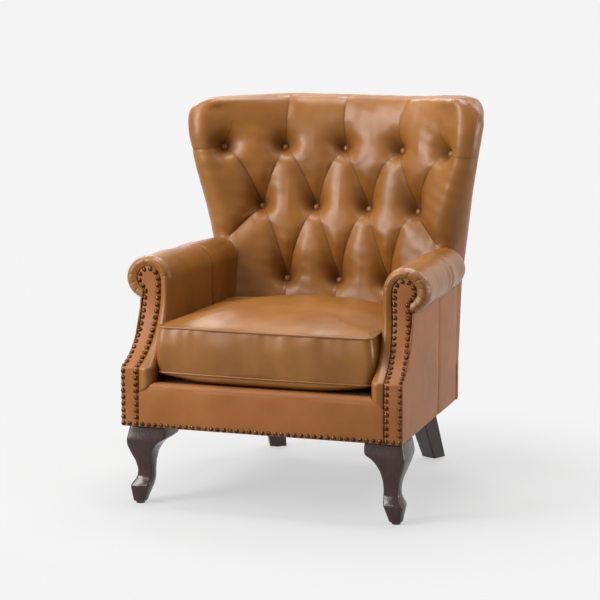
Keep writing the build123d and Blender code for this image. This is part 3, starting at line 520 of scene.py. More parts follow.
@dataclass
class Workshop:
    """Finishes of the chair, each made once, and the bench where its pieces are put together."""

    finishes: dict[str, Material] = field(
        default_factory=lambda: {slot: finish.build() for slot, finish in FINISHES.items()})
    dome: Tree = field(default_factory=dome_tree)
    dome_seed: int = 7

    def make(self, name: str, points: Array, faces: list, finish: str, stands_for: tuple[str, ...],
             fill: float | None = None, crease: Array | None = None,
             body: Body = Body.CHAIR) -> Object:
        """Turn points and faces into a dressed piece of the chair.

        Args:
            name: Piece name.
            points: Points in millimetres.
            faces: Index lists.
            finish: Name of the finish.
            stands_for: Nodes of the construction it replaces.
            fill: How full a padded piece is, or None for a thin piece. Not used.
            crease: How deep in a fold, pit or seam each point lies, from 0 to 1, which the leather paints as
                shade.
            body: Body it rides on.

        Returns:
            The new object.
        """
        mesh = bpy.data.meshes.new(name)
        mesh.from_pydata(in_frame(points.reshape(-1, 3)).tolist(), [], faces)
        mesh.update()
        turn_outward(mesh)
        mesh.polygons.foreach_set("use_smooth", np.ones(len(mesh.polygons), bool))
        # The crease mark goes on the points, where the leather turns it into painted shade.
        if crease is not None:
            attribute = mesh.attributes.new("crease", "FLOAT", "POINT")
            attribute.data.foreach_set("value", np.clip(crease, 0, 1).astype(np.float32).ravel())
        mesh.materials.append(self.finishes[finish])
        return self.hand_over(name, mesh, stands_for, body)

    def loft(self, name: str, loops: Array, *dress, **more) -> Object:
        """Skin closed loops of points as one piece with two caps, dressed as make takes it."""
        return self.make(name, loops, loft_faces(*loops.shape[:2]), *dress, **more)

    def domes(self, name: str, spots: Array, ways: Array, head: Head, finish: str,
              stands_for: tuple[str, ...]) -> Object:
        """Set domed heads on points of the chair.

        Args:
            name: Piece name.
            spots: Places in millimetres.
            ways: The way each head faces.
            head: Sizes of a head.
            finish: Name of the finish.
            stands_for: Nodes of the construction that the heads replace.

        Returns:
            The new object.
        """
        seeds = bpy.data.meshes.new(name + "_points")
        seeds.from_pydata(in_frame(spots).tolist(), [], [])
        facing = seeds.attributes.new("facing", "FLOAT_VECTOR", "POINT")
        facing.data.foreach_set("vector", ways.astype(np.float32).ravel())
        holder = bpy.data.objects.new(name + "_points", seeds)
        bpy.context.scene.collection.objects.link(holder)
        modifier = holder.modifiers.new("heads", "NODES")
        modifier.node_group = self.dome
        values = {"Radius": head.radius * MILLIMETRE, "Crown": head.crown * MILLIMETRE,
                  "Seed": self.dome_seed, "Material": self.finishes[finish]}
        for item in self.dome.interface.items_tree:
            if item.in_out == "INPUT" and item.name in values:
                modifier[item.identifier] = values[item.name]
        graph = bpy.context.evaluated_depsgraph_get()
        graph.update()
        mesh = bpy.data.meshes.new_from_object(holder.evaluated_get(graph))
        mesh.name = name
        bpy.data.objects.remove(holder)
        return self.hand_over(name, mesh, stands_for)

    def hand_over(self, name: str, mesh: Mesh, stands_for: tuple[str, ...],
                  body: Body = Body.CHAIR) -> Object:
        """Attach a finished mesh to its body and hide the nodes that it stands for."""
        obj = bpy.data.objects.new(name, mesh)
        bpy.context.scene.collection.objects.link(obj)
        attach(obj, body.value)
        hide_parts(*stands_for)
        LOG.info("%s: %d faces", name, len(mesh.polygons))
        return obj


@dataclass(frozen=True)
class ChairSizes:
    """Main sizes of the chair in millimetres, and the curves that follow from them."""

    base_width: float = 716.0
    base_height: float = 205.0
    base_depth: float = 735.0
    seat_width: float = 550.0
    deck_top: float = 313.7
    back_bottom: float = 299.7
    arm_height: float = 615.0
    arm_length: float = 575.0
    arm_setback: float = 112.0
    roll_radius: float = 57.0
    facing_width: float = 46.5
    panel: float = 6.0
    kink: float = 352.0
    scoop_height: float = 168.0
    splay: float = math.tan(math.radians(2.4))
    seam_y: float = 378.0
    mitre_top: float = 316.0
    overall_height: float = 968.0
    seat_line: float = 500.0
    face_at_seat: float = 590.0
    face_rake: float = math.tan(math.radians(11.0))
    rear_rake: float = math.tan(math.radians(3.0))
    wing_top: float = 920.0
    wing_half: float = 352.0
    wing_outside: float = 395.0
    wing_forward: float = 130.0
    wing_curve: float = 1.25
    side_curve: float = 1.3
    low_forward: float = 40.0
    nose_depth: float = 58.0
    nose_bulge: float = 22.0
    nose_passes: int = 14
    rear_flat: float = 200.0
    rear_sag: float = 14.0
    rear_corner: float = 0.2
    rear_points: tuple[int, int] = (60, 80)
    rear_passes: int = 30
    top_round: float = 50.0
    corner_round: float = 36.0

    @property
    def half_base(self) -> float:
        """Half the width of the base."""
        return self.base_width / 2

    @property
    def half_seat(self) -> float:
        """Half the width between the arms."""
        return self.seat_width / 2

    @property
    def roll_x(self) -> float:
        """Middle of the arm roll at the arm front."""
        return self.half_seat + self.roll_radius

    @property
    def roll_z(self) -> float:
        """Height of the middle of the arm roll."""
        return self.arm_height - self.roll_radius

    @property
    def scoop_top(self) -> float:
        """Height where the scooped arm front turns upright."""
        return self.kink + self.scoop_height

    @property
    def top_start(self) -> float:
        """Height where the back starts to round over."""
        return self.overall_height - self.top_round

    def shift(self, y):
        """Sideways place of an arm at depth y."""
        return -self.splay * (y - self.arm_setback)

    def arm_front(self, z):
        """Depth of the scooped arm front at height z."""
        z = np.asarray(z, float)
        radius = (self.arm_setback ** 2 + self.scoop_height ** 2) / (2 * self.arm_setback)
        drop = np.clip(self.scoop_top - z, 0, self.scoop_height)
        bend = self.arm_setback - radius + np.sqrt(radius ** 2 - drop ** 2)
        return np.where(z <= self.kink, 0.0, bend)

    def ease(self, z: float) -> float:
        """Share of the way from the seat line to the top of the wings."""
        return min(1.0, max(0.0, (z - self.seat_line) / (self.wing_top - self.seat_line)))

    def face_y(self, z: float) -> float:
        """Middle of the inside back."""
        return self.face_at_seat + (z - self.seat_line) * self.face_rake

    def rear_y(self, z: float) -> float:
        """Middle of the outside back."""
        return self.base_depth + (z - self.back_bottom) * self.rear_rake

    def inner_half(self, z: float) -> float:
        """Half width of the inside back."""
        low = self.half_seat + self.shift(self.face_at_seat - self.low_forward)
        return low + (self.wing_half - low) * smoothstep(self.ease(z))

    def outer_half(self, z: float) -> float:
        """Half width of the outside back."""
        low = self.half_base + self.shift(self.arm_length)
        return low + (self.wing_outside - low) * self.ease(z) ** self.side_curve

    def forward(self, z: float) -> float:
        """How far the wing edges stand forward of the middle."""
        share = smoothstep(self.ease(z) ** self.wing_curve)
        return self.low_forward + (self.wing_forward - self.low_forward) * share

    def inset(self, z: float) -> float:
        """Narrowing by the rounded top corners."""
        rise = max(0.0, z - (self.overall_height - self.corner_round)) / self.corner_round
        return self.corner_round * (1 - math.sqrt(max(0.0, 1 - rise * rise)))

    def back_front_curve(self, z: float, rounding: float, nose: int, face: int) -> Array:
        """Front of the back at a height, from the left side seam round both wings to the right one.

        Args:
            z: Height.
            rounding: How far front and rear are drawn in.
            nose: Points on each wing edge.
            face: Points on the curved face.

        Returns:
            Array of x and y.
        """
        half, outer = self.inner_half(z) - self.inset(z), self.outer_half(z) - self.inset(z)
        front = self.face_y(z) + rounding
        tip_y = front - self.forward(z)
        side_y = tip_y + self.nose_depth - 2 * rounding
        tip, side = np.array([half, tip_y]), np.array([outer, side_y])
        chord = side - tip
        out = np.array([chord[1], -chord[0]]) / np.linalg.norm(chord)
        swell = (tip + side) / 2 + out * self.nose_bulge * (1 - rounding / self.top_round)
        right = arc_through(tip, swell, side, nose)
        middle = arc_through((-half, tip_y), (0, front), (half, tip_y), face)
        left = right[::-1] * np.array([-1, 1])
        return smoothed(np.concatenate([left[:-1], middle, right[1:]]), self.nose_passes)

    def back_rear_curve(self, z: float, rounding: float, count: int, draw_in: float = 0.0) -> Array:
        """Rear of the back at a height, from the left side seam to the right one.

        Args:
            z: Height.
            rounding: How far front and rear are drawn in.
            count: Number of points, evenly spaced.
            draw_in: Extra inset of the whole curve.

        Returns:
            Array of x and y.
        """
        outer = self.outer_half(z) - self.inset(z) - draw_in
        side_y = self.face_y(z) - rounding - self.forward(z) + self.nose_depth
        return self.rear_curve(outer, side_y, self.rear_y(z) - rounding - draw_in, count)

    def rear_curve(self, half: float, side_y: float, rear: float, count: int) -> Array:
        """Rear outline from the left side to the right one.

        Args:
            half: Half width at the sides.
            side_y: Depth of the sides.
            rear: Depth of the middle.
            count: Number of points, evenly spaced.

        Returns:
            Array of x and y.
        """
        flat = min(self.rear_flat, half * self.rear_flat / self.outer_half(self.back_bottom))
        side, turn = np.array([half, side_y]), np.array([flat, rear - self.rear_sag])
        chord = turn - side
        out = np.array([chord[1], -chord[0]]) * self.rear_corner
        corner = arc_through(side, (side + turn) / 2 + out, turn, self.rear_points[0])
        middle = arc_through(turn, (0, rear), (-flat, rear - self.rear_sag), self.rear_points[1])
        line = np.concatenate([corner[:-1], middle, (corner[::-1] * np.array([-1, 1]))[1:]])[::-1]
        return spread_evenly(smoothed(line, self.rear_passes), count)


SIZES = ChairSizes()


@dataclass(frozen=True)
class Pleat:
    """A sewn or pulled fold on the inside back, as a line of distances along the face and heights."""

    line: Array
    start_depth: float
    end_depth: float
    steep: float = 7.0
    easy: float = 15.0


def fold_from(spot: Pair, run: tuple[Pair, ...], sign: int = 1) -> Array:
    """Line of a fold from a button, by steps from it that are mirrored by the sign."""
    return np.array([spot] + [(spot[0] + sign * across, spot[1] + up) for across, up in run])


@dataclass
class TuftedBack:
    """Inside back with wings, buttons and pleats, and the panel behind it."""

    shop: Workshop
    # Height, spacing and places of each row of buttons, from the top down.
    rows: tuple = ((846.0, 156.0, (-2, -1, 0, 1, 2)), (691.0, 139.0, (-1.5, -0.5, 0.5, 1.5)),
                   (500.0, 137.0, (-1, 0, 1)))
    fill: float = 0.75
    button: Head = Head(9.5, 6.5)
    button_seat: float = 3.0
    nose_points: int = 26
    face_points: int = 361
    row_step: float = 2.6
    # The turn over the top: rows, how far it is drawn in, and the length of leather along it.
    front_turns: int = 15
    rear_turns: int = 12
    crest_rows: int = 8
    crest_sink: float = 3.0
    top_depth: float = 27.0
    turn_length: float = 45.0
    crest_length: float = 30.0
    crest_smooth: tuple[int, int] = (45, 6)
    # Swell of the leather between the folds.
    puff: float = 24.0
    puff_reach: float = 44.0
    puff_sunk: float = 0.5
    swell_passes: int = 50
    waves: tuple = ((0.9, 130.0, 4), (0.35, 45.0, 9))
    # Funnels that the buttons pull, with a depth and a height for each row.
    funnel_depth: Triple = (34.0, 34.0, 26.0)
    funnel_tall: Triple = (1.2, 1.75, 1.75)
    funnel_reach: float = 29.0
    funnel_wide: Pair = (1.05, 0.2)
    funnel_low: float = 1.25
    funnel_power: float = 1.4
    # Strength and tightness of the painted shade round each button's pit.
    funnel_mark: Pair = (0.85, 1.7)
    shared_pull: float = 0.35
    # Folds: start depth, end depth, steep reach and easy reach, and the steps that they take from a button.
    fold_points: tuple[int, int] = (18, 14)
    # Width and strength of the painted shade along the folds.
    crease_half: float = 1.9
    crease_least: float = 0.35
    crease_full: float = 14.0
    shallow: float = 34.0
    full_depth: float = 9.0
    far: float = 1e9
    bend: Pair = (0.65, 0.38)
    diamond_pull: Pair = (1.4, 9.5)
    crest_pull: tuple = (5.0, 1.6, 5.0, 12.0)
    crest_rise: float = 150.0
    crest_lean: float = 46.0
    edge_depth: Pair = (4.0, 1.6)
    edge_reach: Pair = (4.0, 8.0)
    edge_run: tuple = ((45.0, -3.0), (150.0, -6.0))
    upper_pull: tuple = (3.0, 0.0, 7.0, 14.0)
    upper_run: tuple = ((-4.0, 30.0), (-8.0, 62.0))
    lower_pull: tuple = (9.0, 6.0, 6.0, 12.0)
    lower_run: tuple = ((38.0, -36.0),)
    lower_end: Pair = (290.0, 612.0)
    seat_pull: tuple = (5.0, 2.0, 6.0, 12.0)
    seat_run: tuple = ((0.0, -90.0),)
    # Padding on top of the left and right wing, and the fall towards the seat.
    lift: Pair = (-7.0, 10.0)
    lift_span: Pair = (150.0, 350.0)
    lift_height: Pair = (924.0, 968.0)
    tuck: float = 13.0
    tuck_height: Pair = (610.0, 440.0)
    tuck_power: int = 4
    # The pad's own edges and the wall behind it.
    edge_hold: float = 16.0
    end_hold: float = 8.0
    wall_columns: int = 9
    wall_depth: float = 58.0
    probe_row: int = 20
    # The outside back panel with its two upright seams.
    seam_height: float = 917.0
    panel_grid: tuple[int, int] = (70, 141)
    panel_full: Pair = (3.0, 0.6)
    panel_wave: tuple = (0.7, 160.0, 12)
    panel_seams: Pair = (0.24, 0.76)
    panel_seam_depth: float = 2.2
    # Width and strength of the painted shade along the two seams.
    panel_seam_half: float = 0.8
    panel_crease: float = 0.6

    def buttons(self) -> list[list[Pair]]:
        """Rows of buttons as distance along the face and height."""
        return [[(step * place, z) for place in places] for z, step, places in self.rows]

    def diamond_side(self, start: Pair, end: Pair) -> Pleat:
        """Fold that leaves one button slanting and reaches the next one nearly upright."""
        a, b, (over, down) = np.array(start), np.array(end), self.bend
        pull = np.array([over * b[0] + (1 - over) * a[0], a[1] - down * (a[1] - b[1])])
        t = np.linspace(0, 1, self.fold_points[0])[:, None]
        return Pleat((1 - t) ** 2 * a + 2 * t * (1 - t) * pull + t ** 2 * b, *self.diamond_pull)

    def pleats(self) -> list[Pleat]:
        """All folds of the inside back."""
        top, middle, low = self.buttons()
        found = []
        for upper, lower in ((top, middle), (middle, low)):
            for index, spot in enumerate(lower):
                found += [self.diamond_side(start, spot) for start in upper[index:index + 2]]
        t = np.linspace(0, 1, self.fold_points[1])[:, None]
        for spot in top[1:-1]:
            lean = self.crest_lean if spot[0] > 0 else 0.0
            line = np.array(spot) + t * np.array([0, self.crest_rise]) + t ** 2 * np.array([lean, 0])
            found.append(Pleat(line, *self.crest_pull))
        for side, end, depth in zip(Side, (0, -1), self.edge_depth):
            sign = side.value
            found.append(Pleat(fold_from(top[end], self.edge_run, sign), depth, depth / 2, *self.edge_reach))
            found.append(Pleat(fold_from(top[end], self.upper_run, sign), *self.upper_pull))
            lower_end = [[sign * self.lower_end[0], self.lower_end[1]]]
            line = np.concatenate([fold_from(middle[end], self.lower_run, sign), lower_end])
            found.append(Pleat(line, *self.lower_pull))
        return found + [Pleat(fold_from(spot, self.seat_run), *self.seat_pull) for spot in low]

    def to_line(self, place: Array, line: Array) -> tuple[Array, Array, Array]:
        """Nearest spot of a fold for each place on the face.

        Args:
            place: Distance along the face and height of each point.
            line: Points of the fold.

        Returns:
            Distance to the fold, share of the way along it, and the side of it.
        """
        best = np.full(place.shape[:-1], self.far)
        share, side = np.zeros(best.shape), np.zeros(best.shape)
        pieces = len(line) - 1
        for index in range(pieces):
            run, offset = line[index + 1] - line[index], place - line[index]
            t = np.clip((offset @ run) / (run @ run), 0, 1)
            gap = offset - t[..., None] * run
            distance = np.hypot(gap[..., 0], gap[..., 1])
            closer = distance < best
            best = np.where(closer, distance, best)
            share = np.where(closer, (index + t) / pieces, share)
            side = np.where(closer, np.sign(run[0] * offset[..., 1] - run[1] * offset[..., 0]), side)
        return best, share, side

    def relief(self, along: Array, height: Array) -> tuple[Array, Array]:
        """How far the leather stands out from the plain curve, and how deep in a fold it lies.

        Args:
            along: Distance along the face of each point.
            height: Height of each point, counted on over the top.

        Returns:
            Outward distance in millimetres, and fold depth from 0 to 1, which marks the painted shade in
            folds and pits.
        """
        place = np.stack([along, height], axis=-1)
        valley = np.full(along.shape, self.far)
        pulled, fold, pit = (np.zeros(along.shape) for _ in range(3))
        for pleat in self.pleats():
            best, share, side = self.to_line(place, pleat.line)
            depth = pleat.start_depth + (pleat.end_depth - pleat.start_depth) * share
            lean = 1 if pleat.line[-1][0] >= pleat.line[0][0] else -1
            reach = np.where(side * lean > 0, pleat.steep, pleat.easy)
            pulled = np.maximum(pulled, depth * np.exp(-best / reach))
            # Painted shade along each fold, stronger where the fold is deeper.
            mark = np.minimum(1, self.crease_least + depth / self.crease_full)
            fold = np.maximum(fold, mark * bell(best, self.crease_half))
            valley = np.minimum(valley, best + self.shallow * (1 - np.minimum(1, depth / self.full_depth)))
        wide, narrower = self.funnel_wide
        mark, tight = self.funnel_mark
        for row, tall, sunk in zip(self.buttons(), self.funnel_tall, self.funnel_depth):
            for a, z in row:
                dx, dz = along - a, height - z
                above = 0.5 + 0.5 * np.tanh(dz / self.button.radius)
                squash = self.funnel_low - (self.funnel_low - 1 / tall) * above
                r = np.hypot(dx * (wide - narrower * above), dz * squash) / self.funnel_reach
                pit = np.maximum(pit, sunk * np.exp(-r ** self.funnel_power))
                # Painted shade in the pit round each button.
                fold = np.maximum(fold, mark * bell(r * tight, 1.0))
                valley = np.minimum(valley, r * self.funnel_reach)
        full = np.minimum(1, valley / self.puff_reach)
        swell = self.puff * (full * (2 - full) - self.puff_sunk)
        for axis in (0, 1):
            swell = smoothed(swell, self.swell_passes, axis)
        return swell - np.maximum(pulled, pit) - self.shared_pull * np.minimum(pulled, pit), fold

    def inside(self) -> tuple[Array, Array, Array]:
        """Plain inside back as a grid from the seat over the top to the rear seam, without its folds.

        Returns:
            Grid of points, distance along the face, and height counted on over the top.
        """
        s, counts = SIZES, (self.nose_points, self.face_points)
        columns = 2 * (self.nose_points - 1) + self.face_points
        rows, heights = [], []

        def add(line: Array, z: float, height: float) -> None:
            """Add one row of points."""
            rows.append(at_height(line, z))
            heights.append(height)

        def over_top(turn: float) -> Pair:
            """Height and inset at an angle of the turn over the top."""
            return s.top_start + s.top_round * math.sin(turn), self.top_depth * (1 - math.cos(turn))

        for z in np.arange(s.back_bottom, s.top_start, self.row_step):
            add(s.back_front_curve(z, 0, *counts), z, z)
        for turn in np.linspace(0, math.pi / 2, self.front_turns):
            z, drawn = over_top(turn)
            add(s.back_front_curve(z, drawn, *counts), z, s.top_start + self.turn_length * turn)
        front, last = rows[-1][:, :2], heights[-1]
        rear = s.back_rear_curve(s.overall_height, self.top_depth, columns)
        for share in np.linspace(0, 1, self.crest_rows)[1:-1]:
            sink = self.crest_sink * (1 - math.sin(share * math.pi))
            add(front + (rear - front) * share, s.overall_height - sink, last + self.crest_length * share)
        for turn in np.linspace(math.pi / 2, 0, self.rear_turns):
            z, drawn = over_top(turn)
            beyond = self.crest_length + self.turn_length * (math.pi / 2 - turn)
            add(s.back_rear_curve(z, drawn, columns), z, last + beyond)
        grid = np.array(rows)
        crest, passes = self.crest_smooth
        grid[-crest:] = smoothed(grid[-crest:], passes)
        steps = np.linalg.norm(np.diff(grid[..., :2], axis=1), axis=-1)
        along = np.concatenate([np.zeros((len(rows), 1)), np.cumsum(steps, axis=1)], axis=1)
        along -= along[:, columns // 2][:, None]
        return grid, along, np.repeat(np.array(heights)[:, None], columns, axis=1)

    def settle(self, points: Array) -> None:
        """Raise or lower the padding on top of each wing, and let the leather fall back towards the seat."""
        x, _, z = np.moveaxis(points, -1, 0)
        amount = np.where(x > 0, self.lift[1], self.lift[0])
        side, top = share_of(np.abs(x), *self.lift_span), share_of(z, *self.lift_height)
        points[..., 2] += amount * smoothstep(side) * smoothstep(top)
        low, side = share_of(points[..., 2], *self.tuck_height), share_of(np.abs(x), 0, SIZES.half_seat)
        points[..., 1] += self.tuck * smoothstep(low) * (1 - side ** self.tuck_power)

    def build_inside(self) -> tuple[Array, Array, Array]:
        """Make the tufted inside back as one closed padded piece.

        Returns:
            Leather points, with their distance along the face and height.
        """
        grid, along, height = self.inside()
        rise, fold = self.relief(along, height)
        rows, columns = height.shape
        edge = np.minimum(np.arange(columns), np.arange(columns)[::-1]) / self.edge_hold
        end = np.arange(rows)[::-1] / self.end_hold
        hold = np.minimum(1, edge)[None, :] * np.minimum(1, end)[:, None]
        normal = grid_normals(grid, (self.probe_row, columns // 2), (0, -1, 0))
        points = grid + normal * ((rise + uneven(grid, *self.waves)) * hold)[..., None]
        self.settle(points)
        upright = int(np.searchsorted(height[:, 0], SIZES.top_start))
        t = np.linspace(0, 1, self.wall_columns + 2)[None, 1:-1, None]
        left, right = points[:upright, :1], points[:upright, -1:]
        middle = grid[:upright, columns // 2][:, None] + np.array([0, self.wall_depth, 0])
        back = left + (right - left) * t + (middle - (left + right) / 2) * (4 * t * (1 - t))
        index = np.arange(rows * columns).reshape(rows, columns)
        inner = np.arange(back.size // 3).reshape(upright, -1) + index.size
        wall = np.concatenate([index[:upright, :1], inner, index[:upright, -1:]], axis=1)
        foot, rim = index[0, ::-1], np.concatenate([index[upright - 1:, 0], index[-1, 1:],
                                                    index[upright - 1:-1, -1][::-1]])
        faces = quads(index) + quads(wall[:, ::-1])
        faces += [foot.tolist() + wall[0, 1:-1].tolist(), rim.tolist() + wall[-1, 1:-1][::-1].tolist()]
        everything = np.concatenate([points.reshape(-1, 3), back.reshape(-1, 3)])
        crease = np.concatenate([(fold * hold).ravel(), np.zeros(inner.size)])
        self.shop.make("tufted_inside_back", everything, faces, LEATHER, ("inside_back_pad",), self.fill,
                       crease)
        return points, along, height

    def build_outside(self) -> Object:
        """Make the outside back panel as a thin closed shell, a little full in the middle."""
        s, (rows, columns) = SIZES, self.panel_grid
        heights = np.linspace(s.back_bottom, self.seam_height, rows)
        outer, inner = (np.array([at_height(s.back_rear_curve(z, 0, columns, drawn), z) for z in heights])
                        for drawn in (0.0, s.panel))
        across, up = (np.sin(np.linspace(0, math.pi, count)) for count in (columns, rows))
        middle = across[None, :] * up[:, None]
        full, power = self.panel_full
        rise = full * middle ** power + uneven(outer, self.panel_wave) * middle
        # Painted shade along the two sunk seams, besides the groove itself.
        seam = np.zeros((rows, columns))
        for share in self.panel_seams:
            gap = np.abs(np.linspace(0, 1, columns) - share)[None, :] * columns
            rise = rise - self.panel_seam_depth * bell(gap, 1.0)
            seam = np.maximum(seam, bell(gap, self.panel_seam_half))
        outer = outer + grid_normals(outer, (self.probe_row, columns // 2), (0, 1, 0)) * rise[..., None]
        loops = np.concatenate([outer, inner[::-1]]).transpose(1, 0, 2)
        crease = np.concatenate([seam, np.zeros((rows, columns))]).T * self.panel_crease
        return self.shop.loft("outside_back", loops, PANEL, ("outside_back_panel",), crease=crease)

    def build_buttons(self, surface: tuple[Array, Array, Array]) -> Object:
        """Make the covered buttons, each seated on the leather at the bottom of its pit.

        Args:
            surface: Leather points, with their distance along the face and height.

        Returns:
            The new object.
        """
        points, along, height = surface
        spots, ways = [], []
        for row in self.buttons():
            for a, z in row:
                nearest = np.argmin((along - a) ** 2 + (height - z) ** 2)
                radius = (SIZES.inner_half(z) ** 2 + SIZES.forward(z) ** 2) / (2 * SIZES.forward(z))
                out = np.array([-math.sin(a / radius), -math.cos(a / radius), SIZES.face_rake])
                ways.append(out / np.linalg.norm(out))
                spots.append(points.reshape(-1, 3)[nearest] + ways[-1] * self.button_seat)
        return self.shop.domes("back_button_heads", np.array(spots), np.array(ways), self.button, LEATHER,
                               ("back_buttons",))

    def build(self) -> None:
        """Make every piece of the back."""
        surface = self.build_inside()
        self.build_outside()
        self.build_buttons(surface)


@dataclass(frozen=True)
class NailTrim:
    """Row of nail heads: their size, spacing, distance from the edge and how far they stand proud."""

    head: Head = Head(6.2, 4.2)
    pitch: float = 16.4
    edge: float = 6.5
    proud: float = 0.9


TRIM = NailTrim()


@dataclass
class RolledArm:
    """One arm: padded inside and roll, facing board, outside panels and nail trim."""

    shop: Workshop
    side: Side
    fill: float = 0.8
    # Facing board: widths, its own crown and the rolled edge.
    neck_width: float = 46.0
    facing_roll: float = 31.0
    facing_points: tuple[int, int, int] = (110, 24, 17)
    facing_lap: float = 0.02
    facing_crown: Pair = (1.8, 2.2)
    facing_edge: float = 0.08
    facing_fade: float = 8.0
    facing_thick: float = 8.0
    facing_wave: tuple = (0.4, 60.0, 5)
    # Pad: section up the inside and round the roll, with the angles where it ends under the roll.
    straight: int = 64
    bow: int = 84
    outer_end: float = -76.0
    inner_end: float = -61.0
    mitre_foot: float = 290.5
    facing_gap: float = 1.5
    core: float = 5.0
    behind: float = 7.0
    # Pleated front edge.
    band: int = 16
    band_power: float = 0.8
    folds: tuple[float, ...] = (168.0, 76.0, 41.0, 9.0, -22.0, -50.0)
    fold_width: float = 2.4
    fold_depth: Pair = (1.8, 0.7)
    # Strength of the painted shade in the pleats.
    fold_mark: float = 0.5
    fold_run: float = 3.0 / 55.0
    lip: Pair = (5.0, 1.15)
    edge_start: float = 0.35
    edge_round: float = 20.0
    edge_power: float = 2.4
    # Length of the arm: rows up to the seam and behind it, and the end that closes against the back.
    front_rows: int = 56
    tail_rows: int = 28
    row_powers: Pair = (1.35, 1.1)
    foot_drop: float = 3.0
    foot_run: Pair = (30.0, 60.0)
    tail: Pair = (-62.0, 12.0)
    tail_power: float = 2.2
    tail_least: Pair = (0.15, 0.7)
    front_full: float = 6.0
    rear_drop: float = 7.0
    # Seam across the roll, unevenness and the hidden underside.
    groove: Pair = (2.6, 3.0)
    # Strength and width of the painted shade in the seam groove across the roll.
    seam_mark: Pair = (0.75, 1.8)
    seam_swell: Triple = (2.0, 22.0, 16.0)
    pad_waves: tuple = ((1.0, 150.0, 19), (1.0, 150.0, 21))
    pad_ripple: tuple = (0.3, 50.0, 31)
    hold_rows: tuple[int, int] = (4, 20)
    pad_probe: tuple[int, int] = (60, 20)
    under_back: Triple = (12.0, 4.0, 30.0)
    under_in: Triple = (10.0, 14.0, 20.0)
    under_top: float = 480.0
    # Outside panels.
    panel_grid: tuple[int, int] = (50, 60)
    panel_top: float = 507.0
    panel_full: Triple = (3.2, 0.45, 0.35)
    panel_roll: Pair = (2.4, 45.0)
    panel_set: Pair = (2.0, 1.0)
    panel_wave: tuple = (0.5, 120.0, 40)
    nail_samples: int = 600
    nail_turns: int = 25
    slope_step: float = 2.0
    kink_clear: float = 3.0

    def name(self, word: str) -> str:
        """Name of a piece or node on this side."""
        return f"{self.side.word}_{word}"

    def placed(self, points: Array) -> Array:
        """Carry points of the right arm along its splay, and mirror them for the left arm."""
        moved = points.copy()
        moved[..., 0] += SIZES.shift(points[..., 1])
        moved[..., 0] *= self.side.value
        return moved

    def neck(self, inset: float) -> Pair:
        """Place and height where the facing's outer edge meets its round top, drawn in by inset."""
        s, radius = SIZES, self.facing_roll - inset
        right = s.roll_x - self.facing_roll + self.neck_width - inset
        return right, s.roll_z - math.sqrt(radius ** 2 - (right - s.roll_x) ** 2)

    def facing_edges(self, z: Array, inset: float = 0.0) -> tuple[Array, Array]:
        """Left and right edge of the facing board at heights z, drawn in by inset."""
        s = SIZES
        radius = self.facing_roll - inset
        bow = np.sqrt(np.clip(radius ** 2 - (z - s.roll_z) ** 2, 0, None))
        share = share_of(z, s.kink, s.scoop_top)
        base_left, base_right = s.half_base - s.facing_width + inset, s.half_base - inset
        neck_right, neck_z = self.neck(inset)
        left = base_left + (s.roll_x - radius - base_left) * share
        right = base_right + (neck_right - base_right) * share
        return np.where(z > s.roll_z, s.roll_x - bow, left), np.where(z > neck_z, s.roll_x + bow, right)

    def turns(self, end: float) -> Array:
        """Angles round the roll from its inside to an end angle in degrees."""
        return np.linspace(math.pi, math.radians(end), self.bow)[1:]

    def section(self, x, z: Array, radius: float, end: float) -> Array:
        """Line up the inside of the arm and round the roll, in the front view.

        Args:
            x: Sideways place of the straight part.
            z: Its heights.
            radius: Radius round the roll.
            end: Angle in degrees where the line ends under the roll.

        Returns:
            Array of x and z.
        """
        s, turn = SIZES, self.turns(end)
        roll = np.column_stack([s.roll_x + radius * np.cos(turn), s.roll_z + radius * np.sin(turn)])
        return np.concatenate([np.column_stack([np.broadcast_to(x, z.shape), z]), roll])

    def front_row(self, inner: Array, outer: Array, pinch: Array, share: float) -> Array:
        """One row of the pleated front edge, at a share of the way from the facing to the outside."""
        line = inner + (outer - inner) * share ** self.band_power
        curl = max(0.0, (share - self.edge_start) / (1 - self.edge_start))
        (lip, lip_end), (deep, power) = self.lip, self.fold_depth
        y = SIZES.arm_front(line[:, 1]) - lip * math.sin(math.pi * min(1, share * lip_end))
        y = y + self.edge_round * (1 - math.sqrt(max(0.0, 1 - curl ** self.edge_power)))
        y = y + pinch * deep * math.sin(math.pi * share) ** power
        return at_depth(line, y)

    def arm_row(self, outer: Array, swollen: Array, y: Array) -> Array:
        """One row along the arm: fuller at the front, lower at the rear and drawn in at the back."""
        s, line = SIZES, outer.copy()
        foot = s.mitre_top + (s.back_bottom - self.foot_drop - s.mitre_top) * share_of(y[0], *self.foot_run)
        line[:self.straight, 1] = np.linspace(foot, s.roll_z, self.straight)
        close = share_of(y, *(s.arm_length + end for end in self.tail))
        shrink = np.sqrt(np.clip(1 - close ** self.tail_power, 0, 1))
        line[:, 0] = squeezed(line[:, 0], s.roll_x, shrink, self.tail_least[0])
        back = share_of(y, s.arm_setback, s.arm_length)
        line[:, 0] -= swollen * (1 - (1 - back) ** 2)
        line[:, 1] -= self.rear_drop * back * share_of(line[:, 1], s.scoop_top, s.scoop_top + s.roll_radius)
        line[:, 1] = squeezed(line[:, 1], s.roll_z, shrink, self.tail_least[1])
        return at_depth(line, y)

